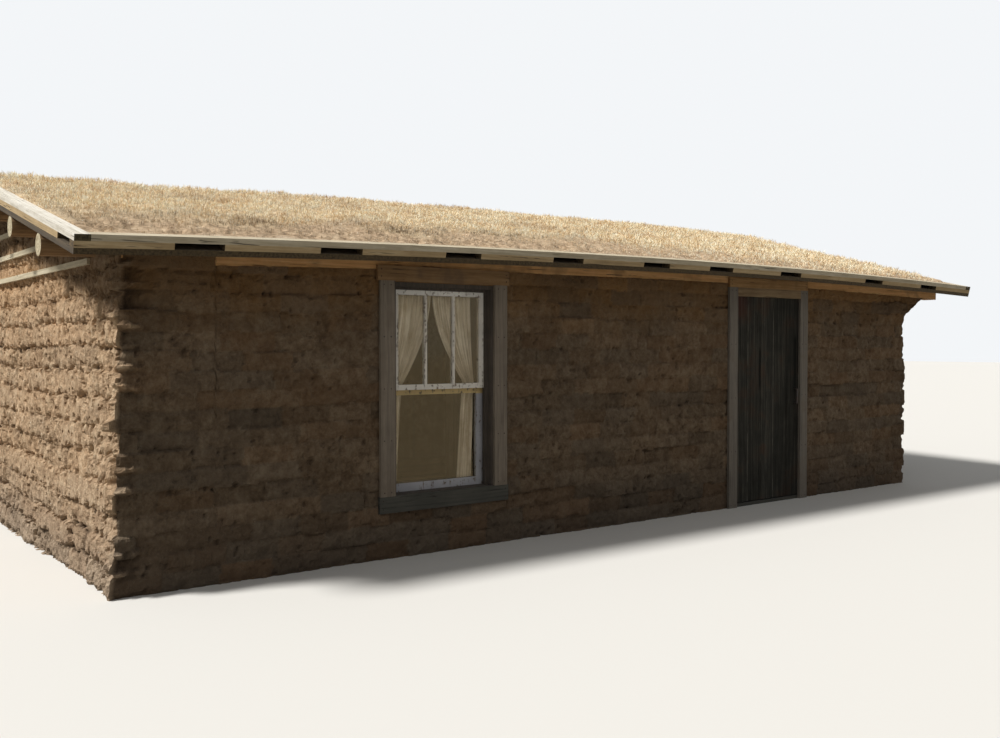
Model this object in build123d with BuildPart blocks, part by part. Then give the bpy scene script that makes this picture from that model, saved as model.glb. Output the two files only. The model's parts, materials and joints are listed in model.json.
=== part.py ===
import os
from math import asin, cos, degrees, radians, sin, tan

from build123d import *

os.makedirs("parts", exist_ok=True)

# A sod house: turf walls, one door, one window and a low turf roof on logs.
# The front wall faces -Y, X runs along it, and Z = 0 is the foot of the walls.

# Roof plan and pitch
roof_length = 9420
eave_to_ridge = 3120
roof_pitch = 13.2
eave_overhang = 300
left_overhang = 340
right_overhang = 780
eave_deck_height = 2122

# The roof is hogged: every long roof timber lies on an arc of this radius
bow_radius = 138000
crown_offset = 630
bow_margin = 100

# Roof layers, measured square to the slope
deck_thickness = 35
curb_width = 89
curb_thickness = 38
turf_gap = 4
turf_edge_height = 62
turf_height = 84
turf_edge_run = 260
ridge_round = 1500

# Drain gaps under the curb, from the left corner of the front wall
drain_centres = [360, 1285, 2235, 3200, 4150, 4940, 5900, 7230, 8240]
drain_width = 300
rake_drain_width = 260
rake_joint = 1.5

# Logs and planks that carry the roof
log_radius = 70
log_sides = 16
log_inset = 100
logs_per_slope = 3
log_left_reach = 338
log_right_reach = 330
plate_width = 140
plate_height = 100
plate_right_reach = 210
gable_plank_thickness = 38
gable_plank_width = 250
gable_plank_proud = 30
log_pocket_gap = 2

# Turf walls
wall_thickness = 600
corbel_foot = 1800
corbel_top = 2030
corbel_reach = 420
floor_thickness = 30

# Doorway
door_centre = 5965
door_light_width = 930
casing_lap = 12
casing_thickness = 25
door_casing_width = 114
door_head_height = 1941
door_head_board_height = 80
door_lintel_height = 88
jamb_thickness = 38
threshold_thickness = 30

# Door leaf
door_planks_across = 5
plank_gap = 3
plank_thickness = 25
door_recess = 5
door_left_gap = 6
door_right_gap = 8
door_top_gap = 8
door_bottom_gap = 10
ledge_width = 140
ledge_thickness = 25
ledge_inset = 40
ledge_heights = [230, 960, 1690]

# Door hinges: an eye on each strap turns on a pin held by a jamb plate
hinge_pin_inset = 24
hinge_pin_radius = 7
hinge_eye_radius = 13
hinge_play = 0.6
hinge_pin_height = 70
strap_length = 420
strap_width = 40
strap_thickness = 5
hinge_seat_gap = 0.3
hinge_arm_height = 20
hinge_arm_width = 16
hinge_plate_thickness = 4
hinge_plate_length = 110

# Door pull
pull_height = 1000
pull_length = 150
pull_width = 18
pull_stand_off = 40
pull_thickness = 8
pull_from_edge = 62

# Window
window_centre = 2282
window_light_width = 825
window_sill_height = 445
window_head_height = 1905
lining_thickness = 30
window_casing_width = 117
window_casing_back = 20
window_casing_foot = 440
window_casing_top = 1940
head_casing_height = 105
head_casing_length = 1140
sill_board_height = 115
sill_board_length = 1120
stop_width = 20
stop_depth = 20
window_recess = 65

# Sashes
sash_play = 3
sash_slide_gap = 2
sash_thickness = 35
stile_width = 55
top_rail_height = 52
meeting_rail_height = 38
bottom_rail_height = 60
meeting_height = 1173
muntin_width = 20
glass_thickness = 4
lights_across = 3

# Curtains
rod_radius = 8
rod_height = 1868
curtain_setback = 180
curtain_depth = 40
curtain_rod_gap = 0.3
curtain_middle_gap = 14
curtain_side_gap = 12
curtain_tie_height = 1200
curtain_tie_width = 150
curtain_foot_height = 540
curtain_tail_width = 120

# Places worked out from the sizes above
slope = radians(roof_pitch)
roof_left = -roof_length / 2
roof_right = roof_length / 2
wall_left = roof_left + left_overhang
wall_right = roof_right - right_overhang
wall_front = -(eave_to_ridge - eave_overhang)
wall_inner = wall_front + wall_thickness
room_left = wall_left + wall_thickness
room_right = wall_right - wall_thickness
corbel_face = wall_right + corbel_reach
log_step = 360 / log_sides
log_crown = log_radius * cos(radians(round(roof_pitch / log_step) * log_step - roof_pitch))
first_log = wall_inner - log_inset
log_spacing = -first_log / logs_per_slope
log_places = [first_log + log_spacing * turn for turn in range(logs_per_slope)]
cut_height = eave_deck_height + eave_to_ridge
cut_depth = 2 * eave_to_ridge + 1000
below_ground = -400


# Heights on the roof section, given at the crown of the bow. A log is hewn to flats: one of
# its edges carries the deck, log_crown from its centre, and one rests on the plank below.
def slope_point(along, up):
    across = -eave_to_ridge + along * cos(slope) - up * sin(slope)
    height = eave_deck_height + along * sin(slope) + up * cos(slope)
    return (across, height)


def ridge_point(up):
    return (0, eave_deck_height + eave_to_ridge * tan(slope) + up / cos(slope))


def under_deck(across):
    edge = eave_deck_height - deck_thickness / cos(slope)
    return edge + (eave_to_ridge - abs(across)) * tan(slope)


def log_centre(across):
    return under_deck(across) - log_crown / cos(slope)


def plank_top(across):
    return log_centre(across) - log_radius


# The bow: a section is swung about a level axis far below the house
bow_centre = eave_deck_height - bow_radius
left_turn = asin((crown_offset - roof_left + bow_margin) / bow_radius)
right_turn = asin((roof_right - crown_offset + bow_margin) / bow_radius)
bow_axis = Axis((crown_offset, 0, bow_centre), (0, 1, 0))
bow_start = Plane(
    origin=(
        crown_offset + sin(left_turn) * bow_centre,
        0,
        bow_centre - cos(left_turn) * bow_centre,
    ),
    x_dir=(0, 1, 0),
    z_dir=(cos(left_turn), 0, sin(left_turn)),
)


def bowed(section, x_from, x_to, z_from=0):
    with BuildPart() as member:
        with BuildSketch(bow_start):
            add(section.sketch)
        revolve(axis=bow_axis, revolution_arc=degrees(left_turn + right_turn))
        middle = ((x_from + x_to) / 2, 0, z_from + cut_height / 2)
        with Locations(middle):
            Box(x_to - x_from, cut_depth, cut_height, mode=Mode.INTERSECT)
    return member


# Upright faces are sloped outward at the right end, where the turf is corbelled
def bowed_to_corbel(section, x_from):
    with BuildPart() as member:
        with BuildSketch(bow_start):
            add(section.sketch)
        revolve(axis=bow_axis, revolution_arc=degrees(left_turn + right_turn))
        with BuildSketch(Plane.XZ.offset(-cut_depth / 2)) as outline:
            with BuildLine():
                Polyline(
                    (x_from, 0),
                    (wall_right, 0),
                    (wall_right, corbel_foot),
                    (corbel_face, corbel_top),
                    (corbel_face, cut_height),
                    (x_from, cut_height),
                    close=True,
                )
            make_face()
        extrude(amount=cut_depth, mode=Mode.INTERSECT)
    return member


def mirrored(front_piece):
    with BuildPart() as back_piece:
        mirror(front_piece.part, about=Plane.XZ)
    return back_piece


def both_sides(front_piece):
    with BuildPart() as pair:
        add(front_piece.part)
        mirror(front_piece.part, about=Plane.XZ)
    return pair


def save(piece, name):
    piece.part.label = name
    export_step(piece.part, f"parts/{name}.step")


# Section of a side wall: a seat for the plate, a fill up to the deck, a seat for the first log
fill_end = first_log - log_radius - log_pocket_gap
plate_bottom = under_deck(wall_front) - plate_height

with BuildSketch() as side_wall_section:
    with BuildLine():
        Polyline(
            (wall_front, below_ground),
            (wall_front, plate_bottom),
            (wall_front + plate_width, plate_bottom),
            (wall_front + plate_width, under_deck(wall_front + plate_width)),
            (fill_end, under_deck(fill_end)),
            (fill_end, plank_top(first_log)),
            (wall_inner, plank_top(first_log)),
            (wall_inner, below_ground),
            close=True,
        )
    make_face()

# Openings in the front wall, to the outside of their linings
window_x = wall_left + window_centre
window_half = window_light_width / 2 + lining_thickness
window_foot = window_sill_height - lining_thickness
window_top = window_head_height + lining_thickness
door_x = wall_left + door_centre
door_half = door_light_width / 2 + casing_lap
door_rough_half = door_half + jamb_thickness
door_jamb_top = door_head_height + casing_lap
door_top = door_jamb_top + jamb_thickness

front_wall_left = bowed(side_wall_section, wall_left, window_x - window_half)
front_wall_middle = bowed(side_wall_section, window_x + window_half, door_x - door_rough_half)
front_wall_right = bowed_to_corbel(side_wall_section, door_x + door_rough_half)
front_wall_over_window = bowed(
    side_wall_section, window_x - window_half, window_x + window_half, window_top
)
front_wall_over_door = bowed(
    side_wall_section, door_x - door_rough_half, door_x + door_rough_half, door_top
)

with BuildPart() as front_wall_under_window:
    with Locations((window_x, wall_front, 0)):
        Box(
            2 * window_half,
            wall_thickness,
            window_foot,
            align=(Align.CENTER, Align.MIN, Align.MIN),
        )

with BuildPart() as back_wall:
    add(mirrored(bowed_to_corbel(side_wall_section, wall_left)).part)

save(front_wall_left, "front_wall_left")
save(front_wall_middle, "front_wall_middle")
save(front_wall_right, "front_wall_right")
save(front_wall_over_window, "front_wall_over_window")
save(front_wall_over_door, "front_wall_over_door")
save(front_wall_under_window, "front_wall_under_window")
save(back_wall, "back_wall")


# Gable section: turf up to the deck, slots for the level planks, pockets for the logs
with BuildSketch() as gable_section:
    with BuildLine():
        Polyline(
            (wall_inner, below_ground),
            (wall_inner, plank_top(first_log)),
            (first_log, plank_top(first_log)),
            (first_log, under_deck(first_log)),
            (0, under_deck(0)),
            (-first_log, under_deck(first_log)),
            (-first_log, plank_top(first_log)),
            (-wall_inner, plank_top(first_log)),
            (-wall_inner, below_ground),
            close=True,
        )
    make_face()
    for place in log_places:
        with Locations((place, log_centre(place)), (-place, log_centre(place))):
            RegularPolygon(log_radius + log_pocket_gap, log_sides, mode=Mode.SUBTRACT)
    with Locations((0, log_centre(0))):
        RegularPolygon(log_radius + log_pocket_gap, log_sides, mode=Mode.SUBTRACT)
    with Locations((0, under_deck(0))):
        Rectangle(log_radius, 2 * log_radius, mode=Mode.SUBTRACT)


def plank_half_length(place):
    if place == first_log:
        return -wall_inner
    if place == 0:
        return 3 * log_radius
    return -place + 2.2 * log_radius


plank_places = log_places + [0]

with BuildSketch() as gable_plank_section:
    for place in plank_places:
        with Locations((0, plank_top(place) - gable_plank_thickness / 2)):
            Rectangle(2 * plank_half_length(place), gable_plank_thickness)

left_plank_from = wall_left - gable_plank_proud
right_plank_to = corbel_face + gable_plank_proud

with BuildPart() as gable_planks:
    add(bowed(gable_plank_section, left_plank_from, left_plank_from + gable_plank_width).part)
    add(bowed(gable_plank_section, right_plank_to - gable_plank_width, right_plank_to).part)

with BuildPart() as left_gable_wall:
    add(bowed(gable_section, wall_left, room_left).part)
    add(gable_planks.part, mode=Mode.SUBTRACT)

with BuildPart() as right_gable_wall:
    add(bowed_to_corbel(gable_section, room_right).part)
    add(gable_planks.part, mode=Mode.SUBTRACT)

save(gable_planks, "gable_planks")
save(left_gable_wall, "left_gable_wall")
save(right_gable_wall, "right_gable_wall")


# Floor of boards between the walls
with BuildPart() as floor:
    with Locations(((room_left + room_right) / 2, 0, 0)):
        Box(
            room_right - room_left,
            -2 * wall_inner,
            floor_thickness,
            align=(Align.CENTER, Align.CENTER, Align.MIN),
        )
save(floor, "floor")


# Plates on the outer edge of the side walls, cut to the roof slope on top
with BuildSketch() as plate_section:
    with BuildLine():
        Polyline(
            (wall_front, plate_bottom),
            (wall_front, under_deck(wall_front)),
            (wall_front + plate_width, under_deck(wall_front + plate_width)),
            (wall_front + plate_width, plate_bottom),
            close=True,
        )
    make_face()

wall_plates = both_sides(bowed(plate_section, wall_left, corbel_face + plate_right_reach))
save(wall_plates, "wall_plates")


# Logs under the deck
logs_from = wall_left - log_left_reach
logs_to = corbel_face + log_right_reach

with BuildSketch() as ridge_log_section:
    with Locations((0, log_centre(0))):
        RegularPolygon(log_radius, log_sides)

with BuildSketch() as front_log_section:
    for place in log_places:
        with Locations((place, log_centre(place))):
            RegularPolygon(log_radius, log_sides)

ridge_log = bowed(ridge_log_section, logs_from, logs_to)
purlin_logs = both_sides(bowed(front_log_section, logs_from, logs_to))
save(ridge_log, "ridge_log")
save(purlin_logs, "purlin_logs")


# Layers on the slope, each from some way up the slope to a plumb cut at the ridge
def slope_layer(along, low, high):
    with BuildSketch() as section:
        with BuildLine():
            Polyline(
                slope_point(along, low),
                ridge_point(low),
                ridge_point(high),
                slope_point(along, high),
                close=True,
            )
        make_face()
    return section


def eave_board_section(low, high):
    with BuildSketch() as section:
        with BuildLine():
            Polyline(
                slope_point(0, low),
                slope_point(curb_width, low),
                slope_point(curb_width, high),
                slope_point(0, high),
                close=True,
            )
        make_face()
    return section


front_roof_deck = bowed(slope_layer(0, -deck_thickness, 0), roof_left, roof_right)
back_roof_deck = mirrored(front_roof_deck)
save(front_roof_deck, "front_roof_deck")
save(back_roof_deck, "back_roof_deck")


# Curb: blocks with drain gaps between them, and an unbroken board on top
block_ends = [roof_left]
for centre in drain_centres:
    gap_left = wall_left + centre - drain_width / 2
    if gap_left + drain_width < roof_right - curb_width:
        block_ends += [gap_left, gap_left + drain_width]
block_ends.append(roof_right)

block_section = eave_board_section(0, curb_thickness)

with BuildPart() as front_curb_blocks:
    for block_from, block_to in zip(block_ends[::2], block_ends[1::2]):
        add(bowed(block_section, block_from, block_to).part)

front_eave_board = bowed(
    eave_board_section(curb_thickness, 2 * curb_thickness),
    roof_left + curb_width,
    roof_right - curb_width,
)
eave_curb_blocks = both_sides(front_curb_blocks)
eave_curb_boards = both_sides(front_eave_board)
save(eave_curb_blocks, "eave_curb_blocks")
save(eave_curb_boards, "eave_curb_boards")


# Rake curb: two boards to a gable, parted at the ridge, over two shorter ones
def rake_section(along, low, high):
    drop = rake_joint * tan(slope)
    with BuildSketch() as section:
        with BuildLine():
            Polyline(
                slope_point(along, low),
                (-rake_joint, ridge_point(low)[1] - drop),
                (-rake_joint, ridge_point(high)[1] - drop),
                slope_point(along, high),
                close=True,
            )
        make_face()
    return section


def rake_boards(section):
    with BuildPart() as boards:
        add(both_sides(bowed(section, roof_left, roof_left + curb_width)).part)
        add(both_sides(bowed(section, roof_right - curb_width, roof_right)).part)
    return boards


rake_curb_boards = rake_boards(rake_section(0, curb_thickness, 2 * curb_thickness))
rake_curb_blocks = rake_boards(rake_section(curb_width + rake_drain_width, 0, curb_thickness))
save(rake_curb_boards, "rake_curb_boards")
save(rake_curb_blocks, "rake_curb_blocks")


# Turf on the deck, inside the curb, thin at the eave and rounded over the ridge
round_centre = ridge_point(turf_height)[1] - ridge_round / cos(slope)
round_start = (-ridge_round * sin(slope), round_centre + ridge_round * cos(slope))
round_middle = (
    -ridge_round * sin(slope / 2),
    round_centre + ridge_round * cos(slope / 2),
)

with BuildSketch() as turf_section:
    with BuildLine():
        Polyline(
            (0, round_centre + ridge_round),
            ridge_point(0),
            slope_point(curb_width + turf_gap, 0),
            slope_point(curb_width + turf_gap, turf_edge_height),
            slope_point(curb_width + turf_gap + turf_edge_run, turf_height),
            round_start,
        )
        ThreePointArc(round_start, round_middle, (0, round_centre + ridge_round))
    make_face()

front_turf = bowed(
    turf_section, roof_left + curb_width + turf_gap, roof_right - curb_width - turf_gap
)
back_turf = mirrored(front_turf)
save(front_turf, "front_turf")
save(back_turf, "back_turf")


# Door frame: a plank lining the full depth of the wall
with BuildPart() as door_jambs:
    jamb_offset = door_half + jamb_thickness / 2
    with Locations((door_x - jamb_offset, wall_front, 0), (door_x + jamb_offset, wall_front, 0)):
        Box(
            jamb_thickness,
            wall_thickness,
            door_jamb_top,
            align=(Align.CENTER, Align.MIN, Align.MIN),
        )

with BuildPart() as door_head:
    with Locations((door_x, wall_front, door_jamb_top)):
        Box(
            2 * door_rough_half,
            wall_thickness,
            jamb_thickness,
            align=(Align.CENTER, Align.MIN, Align.MIN),
        )

with BuildPart() as door_threshold:
    with Locations((door_x, wall_front, 0)):
        Box(
            2 * door_half,
            wall_thickness,
            threshold_thickness,
            align=(Align.CENTER, Align.MIN, Align.MIN),
        )

save(door_jambs, "door_jambs")
save(door_head, "door_head")
save(door_threshold, "door_threshold")


# Boards nailed on the face of the wall
def face_board(x_middle, length, z_from, height):
    with BuildPart() as board:
        with Locations((x_middle, wall_front, z_from)):
            Box(
                length,
                casing_thickness,
                height,
                align=(Align.CENTER, Align.MAX, Align.MIN),
            )
    return board


door_casing_top = door_head_height + door_head_board_height
door_casing_offset = (door_light_width + door_casing_width) / 2

with BuildPart() as door_casings:
    for side in (-1, 1):
        add(
            face_board(
                door_x + side * door_casing_offset, door_casing_width, 0, door_casing_top
            ).part
        )

door_head_board = face_board(
    door_x, door_light_width, door_head_height, door_head_board_height
)
door_lintel_board = face_board(
    door_x,
    door_light_width + 2 * door_casing_width,
    door_casing_top,
    door_lintel_height,
)
save(door_casings, "door_casings")
save(door_head_board, "door_head_board")
save(door_lintel_board, "door_lintel_board")


# Door leaf: upright planks, held by level ledges on the room side
leaf_left = door_x - door_half + door_left_gap
leaf_right = door_x + door_half - door_right_gap
leaf_bottom = threshold_thickness + door_bottom_gap
leaf_top = door_jamb_top - door_top_gap
leaf_face = wall_front + door_recess
leaf_back = leaf_face + plank_thickness
ledge_back = leaf_back + ledge_thickness
plank_pitch = (leaf_right - leaf_left + plank_gap) / door_planks_across
plank_width = plank_pitch - plank_gap

with BuildPart() as door_planks:
    for turn in range(door_planks_across):
        with Locations((leaf_left + turn * plank_pitch, leaf_face, leaf_bottom)):
            Box(
                plank_width,
                plank_thickness,
                leaf_top - leaf_bottom,
                align=(Align.MIN, Align.MIN, Align.MIN),
            )
    chamfer(door_planks.edges().filter_by(Axis.Z).group_by(Axis.Y)[0], 3)

with BuildPart() as door_ledges:
    for height in ledge_heights:
        with Locations(((leaf_left + leaf_right) / 2, leaf_back, height)):
            Box(
                leaf_right - leaf_left - 2 * ledge_inset,
                ledge_thickness,
                ledge_width,
                align=(Align.CENTER, Align.MIN, Align.CENTER),
            )

save(door_planks, "door_planks")
save(door_ledges, "door_ledges")


# Hinges on the lowest and highest ledge
pin_x = door_x - door_half + hinge_pin_inset
pin_y = ledge_back + hinge_eye_radius
hinge_heights = [ledge_heights[0], ledge_heights[-1]]

with BuildPart() as door_hinge_straps:
    for height in hinge_heights:
        with Locations((pin_x, ledge_back, height)):
            Box(
                strap_length,
                strap_thickness,
                strap_width,
                align=(Align.MIN, Align.MIN, Align.CENTER),
            )
        with Locations((pin_x, pin_y, height)):
            Cylinder(hinge_eye_radius, strap_width)
            Cylinder(hinge_pin_radius + hinge_play, strap_width, mode=Mode.SUBTRACT)

with BuildPart() as door_hinge_pins:
    for height in hinge_heights:
        seat = height - strap_width / 2 - hinge_seat_gap
        with Locations((pin_x, pin_y, seat - hinge_arm_height)):
            Cylinder(
                hinge_pin_radius,
                hinge_pin_height,
                align=(Align.CENTER, Align.CENTER, Align.MIN),
            )
        with Locations((door_x - door_half, pin_y, seat)):
            Box(
                hinge_pin_inset + hinge_pin_radius,
                hinge_arm_width,
                hinge_arm_height,
                align=(Align.MIN, Align.CENTER, Align.MAX),
            )
        with Locations((door_x - door_half, pin_y, seat)):
            Box(
                hinge_plate_thickness,
                strap_width,
                hinge_plate_length,
                align=(Align.MIN, Align.CENTER, Align.CENTER),
            )

save(door_hinge_straps, "door_hinge_straps")
save(door_hinge_pins, "door_hinge_pins")


# Door pull on the outer face
with BuildPart() as door_pull:
    with Locations((leaf_right - pull_from_edge, leaf_face, pull_height)):
        Box(
            pull_width,
            pull_stand_off,
            pull_length,
            align=(Align.CENTER, Align.MAX, Align.CENTER),
        )
    with Locations((leaf_right - pull_from_edge, leaf_face, pull_height)):
        Box(
            pull_width,
            pull_stand_off - pull_thickness,
            pull_length - 2 * pull_thickness,
            align=(Align.CENTER, Align.MAX, Align.CENTER),
            mode=Mode.SUBTRACT,
        )
save(door_pull, "door_pull")


# Window lining: a plank box the full depth of the wall
with BuildPart() as window_lining:
    lining_height = window_top - window_foot
    with Locations((window_x, wall_front, window_foot)):
        Box(
            2 * window_half,
            wall_thickness,
            lining_height,
            align=(Align.CENTER, Align.MIN, Align.MIN),
        )
    with Locations((window_x, wall_front, window_sill_height)):
        Box(
            window_light_width,
            wall_thickness,
            window_head_height - window_sill_height,
            align=(Align.CENTER, Align.MIN, Align.MIN),
            mode=Mode.SUBTRACT,
        )

stop_front = wall_front + window_recess - stop_depth

with BuildPart() as window_stops:
    with Locations((window_x, stop_front, window_sill_height)):
        Box(
            window_light_width,
            stop_depth,
            window_head_height - window_sill_height,
            align=(Align.CENTER, Align.MIN, Align.MIN),
        )
    with Locations((window_x, stop_front, window_sill_height)):
        Box(
            window_light_width - 2 * stop_width,
            stop_depth,
            window_head_height - window_sill_height - stop_width,
            align=(Align.CENTER, Align.MIN, Align.MIN),
            mode=Mode.SUBTRACT,
        )

window_casing_offset = window_light_width / 2 + window_casing_back + window_casing_width / 2

with BuildPart() as window_casings:
    for side in (-1, 1):
        add(
            face_board(
                window_x + side * window_casing_offset,
                window_casing_width,
                window_casing_foot,
                window_casing_top - window_casing_foot,
            ).part
        )

window_head_casing = face_board(
    window_x, head_casing_length, window_casing_top, head_casing_height
)
window_sill_board = face_board(
    window_x, sill_board_length, window_casing_foot - sill_board_height, sill_board_height
)
save(window_lining, "window_lining")
save(window_stops, "window_stops")
save(window_casings, "window_casings")
save(window_head_casing, "window_head_casing")
save(window_sill_board, "window_sill_board")


# Sashes: the upper one outside, with upright bars; the lower one inside, of one light, and
# slid down until its top rail shows below the upper sash
sash_width = window_light_width - 2 * sash_play
glass_width = sash_width - 2 * stile_width
upper_face = wall_front + window_recess
lower_face = upper_face + sash_thickness + sash_slide_gap
upper_bottom = meeting_height
upper_top = window_head_height - sash_play
lower_bottom = window_sill_height
lower_top = meeting_height
light_pitch = (glass_width + muntin_width) / lights_across
light_width = light_pitch - muntin_width
upper_light_foot = upper_bottom + meeting_rail_height
upper_light_height = upper_top - top_rail_height - upper_light_foot
lower_light_foot = lower_bottom + bottom_rail_height
lower_light_height = lower_top - meeting_rail_height - lower_light_foot
light_places = [(turn - (lights_across - 1) / 2) * light_pitch for turn in range(lights_across)]

with BuildPart() as upper_sash:
    with Locations((window_x, upper_face, upper_bottom)):
        Box(
            sash_width,
            sash_thickness,
            upper_top - upper_bottom,
            align=(Align.CENTER, Align.MIN, Align.MIN),
        )
    for place in light_places:
        with Locations((window_x + place, upper_face, upper_light_foot)):
            Box(
                light_width,
                sash_thickness,
                upper_light_height,
                align=(Align.CENTER, Align.MIN, Align.MIN),
                mode=Mode.SUBTRACT,
            )

with BuildPart() as lower_sash:
    with Locations((window_x, lower_face, lower_bottom)):
        Box(
            sash_width,
            sash_thickness,
            lower_top - lower_bottom,
            align=(Align.CENTER, Align.MIN, Align.MIN),
        )
    with Locations((window_x, lower_face, lower_light_foot)):
        Box(
            glass_width,
            sash_thickness,
            lower_light_height,
            align=(Align.CENTER, Align.MIN, Align.MIN),
            mode=Mode.SUBTRACT,
        )

with BuildPart() as window_glass:
    for place in light_places:
        with Locations((window_x + place, upper_face + sash_thickness / 2, upper_light_foot)):
            Box(
                light_width,
                glass_thickness,
                upper_light_height,
                align=(Align.CENTER, Align.CENTER, Align.MIN),
            )
    with Locations((window_x, lower_face + sash_thickness / 2, lower_light_foot)):
        Box(
            glass_width,
            glass_thickness,
            lower_light_height,
            align=(Align.CENTER, Align.CENTER, Align.MIN),
        )

save(upper_sash, "upper_sash")
save(lower_sash, "lower_sash")
save(window_glass, "window_glass")


# Curtains on a rod between the linings
curtain_middle = wall_front + curtain_setback
window_left = window_x - window_light_width / 2
window_right = window_x + window_light_width / 2
curtain_top = rod_height - rod_radius - curtain_rod_gap

with BuildPart() as curtain_rod:
    with Locations((window_x, curtain_middle, rod_height)):
        Cylinder(rod_radius, window_light_width, rotation=(0, 90, 0))


def curtain_outline(hanging_edge, middle_edge, towards_middle):
    tie = hanging_edge + towards_middle * curtain_tie_width
    tail = hanging_edge + towards_middle * curtain_tail_width
    with BuildPart() as curtain:
        with BuildSketch(Plane.XZ.offset(-curtain_middle - curtain_depth / 2)):
            with BuildLine():
                Polyline(
                    (hanging_edge, curtain_top),
                    (middle_edge, curtain_top),
                    (tie, curtain_tie_height),
                    (tail, curtain_foot_height),
                    (hanging_edge, curtain_foot_height),
                    close=True,
                )
            make_face()
        extrude(amount=curtain_depth)
    return curtain


curtain_left = curtain_outline(
    window_left + curtain_side_gap, window_x - curtain_middle_gap / 2, 1
)
curtain_right = curtain_outline(
    window_right - curtain_side_gap, window_x + curtain_middle_gap / 2, -1
)
save(curtain_rod, "curtain_rod")
save(curtain_left, "curtain_left")
save(curtain_right, "curtain_right")
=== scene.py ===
# Sod house with a turf roof: the looks of each piece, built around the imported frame.
import json
import math

import bmesh
import bpy
import numpy as np
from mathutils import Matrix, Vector

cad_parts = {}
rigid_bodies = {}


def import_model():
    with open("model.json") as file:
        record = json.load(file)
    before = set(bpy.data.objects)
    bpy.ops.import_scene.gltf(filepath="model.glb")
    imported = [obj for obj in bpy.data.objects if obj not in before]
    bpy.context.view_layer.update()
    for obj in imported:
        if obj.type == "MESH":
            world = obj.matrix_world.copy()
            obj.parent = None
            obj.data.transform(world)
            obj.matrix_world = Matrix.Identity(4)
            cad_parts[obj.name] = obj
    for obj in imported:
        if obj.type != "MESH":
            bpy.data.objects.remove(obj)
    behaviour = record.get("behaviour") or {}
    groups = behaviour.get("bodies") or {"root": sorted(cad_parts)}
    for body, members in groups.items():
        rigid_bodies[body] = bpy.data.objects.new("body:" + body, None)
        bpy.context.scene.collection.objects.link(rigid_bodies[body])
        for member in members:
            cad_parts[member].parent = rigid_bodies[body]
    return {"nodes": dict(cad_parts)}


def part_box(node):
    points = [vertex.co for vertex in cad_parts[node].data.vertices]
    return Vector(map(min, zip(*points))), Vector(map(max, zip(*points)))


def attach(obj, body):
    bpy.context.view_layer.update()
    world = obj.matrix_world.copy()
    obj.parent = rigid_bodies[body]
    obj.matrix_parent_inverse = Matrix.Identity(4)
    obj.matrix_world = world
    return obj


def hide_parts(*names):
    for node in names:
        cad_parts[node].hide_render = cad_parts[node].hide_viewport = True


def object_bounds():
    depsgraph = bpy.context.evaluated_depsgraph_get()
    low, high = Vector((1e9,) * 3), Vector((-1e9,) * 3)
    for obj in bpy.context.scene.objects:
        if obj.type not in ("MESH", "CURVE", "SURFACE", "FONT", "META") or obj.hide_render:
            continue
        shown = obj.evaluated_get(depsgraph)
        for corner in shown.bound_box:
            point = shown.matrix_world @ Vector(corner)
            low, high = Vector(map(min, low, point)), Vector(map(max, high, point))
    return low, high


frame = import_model()
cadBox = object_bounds()
nodes = frame["nodes"]
print("frame loaded")


# Helpers for node trees, shared by materials and Geometry Nodes.

def tone(red, green, blue):
    # a colour as it looks on a screen, 0 to 255, turned into the linear values that Blender uses
    shares = [c / 255 for c in (red, green, blue)]
    return tuple(c / 12.92 if c <= 10 / 255 else ((c + 0.055) / 1.055) ** 2.4 for c in shares)


def plug(tree, socket, value):
    if isinstance(value, bpy.types.NodeSocket):
        tree.links.new(value, socket)
    elif socket.type == "RGBA":
        socket.default_value = (*value[:3], 1.0)
    else:
        socket.default_value = value


def addNode(tree, kind, inputs=None, **settings):
    node = tree.nodes.new(kind)
    for name, value in settings.items():
        setattr(node, name, value)
    for name, value in (inputs or {}).items():
        plug(tree, node.inputs[name], value)
    return node


def calc(tree, operation, *values, clamp=False):
    node = addNode(tree, "ShaderNodeMath", dict(enumerate(values)), operation=operation, use_clamp=clamp)
    return node.outputs[0]


def plus(tree, a, b):
    return calc(tree, "ADD", a, b)


def minus(tree, a, b):
    return calc(tree, "SUBTRACT", a, b)


def times(tree, a, b, clamp=False):
    return calc(tree, "MULTIPLY", a, b, clamp=clamp)


def timesPlus(tree, a, b, c):
    return calc(tree, "MULTIPLY_ADD", a, b, c)


def centred(tree, value):
    # a value from 0 to 1, moved to lie about 0
    return minus(tree, value, 0.5)


def absolute(tree, value):
    return calc(tree, "ABSOLUTE", value)


def between(tree, low, value, high):
    # holds a value between two limits
    return calc(tree, "MAXIMUM", calc(tree, "MINIMUM", value, high), low)


def aboutZero(tree, value, spread):
    # a value from 0 to 1, stretched to the spread and moved to lie about 0
    return timesPlus(tree, value, spread, -spread / 2)


def stretched(tree, vector, factors):
    # a place scaled along each axis, for patterns that are longer one way
    return addNode(tree, "ShaderNodeVectorMath", {0: vector, 1: factors}, operation="MULTIPLY").outputs[0]


def scaled(tree, vector, factor):
    return addNode(tree, "ShaderNodeVectorMath", {0: vector, "Scale": factor}, operation="SCALE").outputs[0]


def point(tree, x, y, z):
    return addNode(tree, "ShaderNodeCombineXYZ", {"X": x, "Y": y, "Z": z}).outputs[0]


def partsOf(tree, vector):
    node = addNode(tree, "ShaderNodeSeparateXYZ", {"Vector": vector})
    return node.outputs[0], node.outputs[1], node.outputs[2]


def remap(tree, value, low, high, toLow=0.0, toHigh=1.0):
    sizes = {"Value": value, "From Min": low, "From Max": high, "To Min": toLow, "To Max": toHigh}
    return addNode(tree, "ShaderNodeMapRange", sizes, interpolation_type="SMOOTHSTEP").outputs["Result"]


def noiseAt(tree, place, scale, detail=2.0, roughness=0.5):
    sizes = {"Vector": place, "Scale": scale, "Detail": detail, "Roughness": roughness}
    return addNode(tree, "ShaderNodeTexNoise", sizes).outputs[0]


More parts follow.
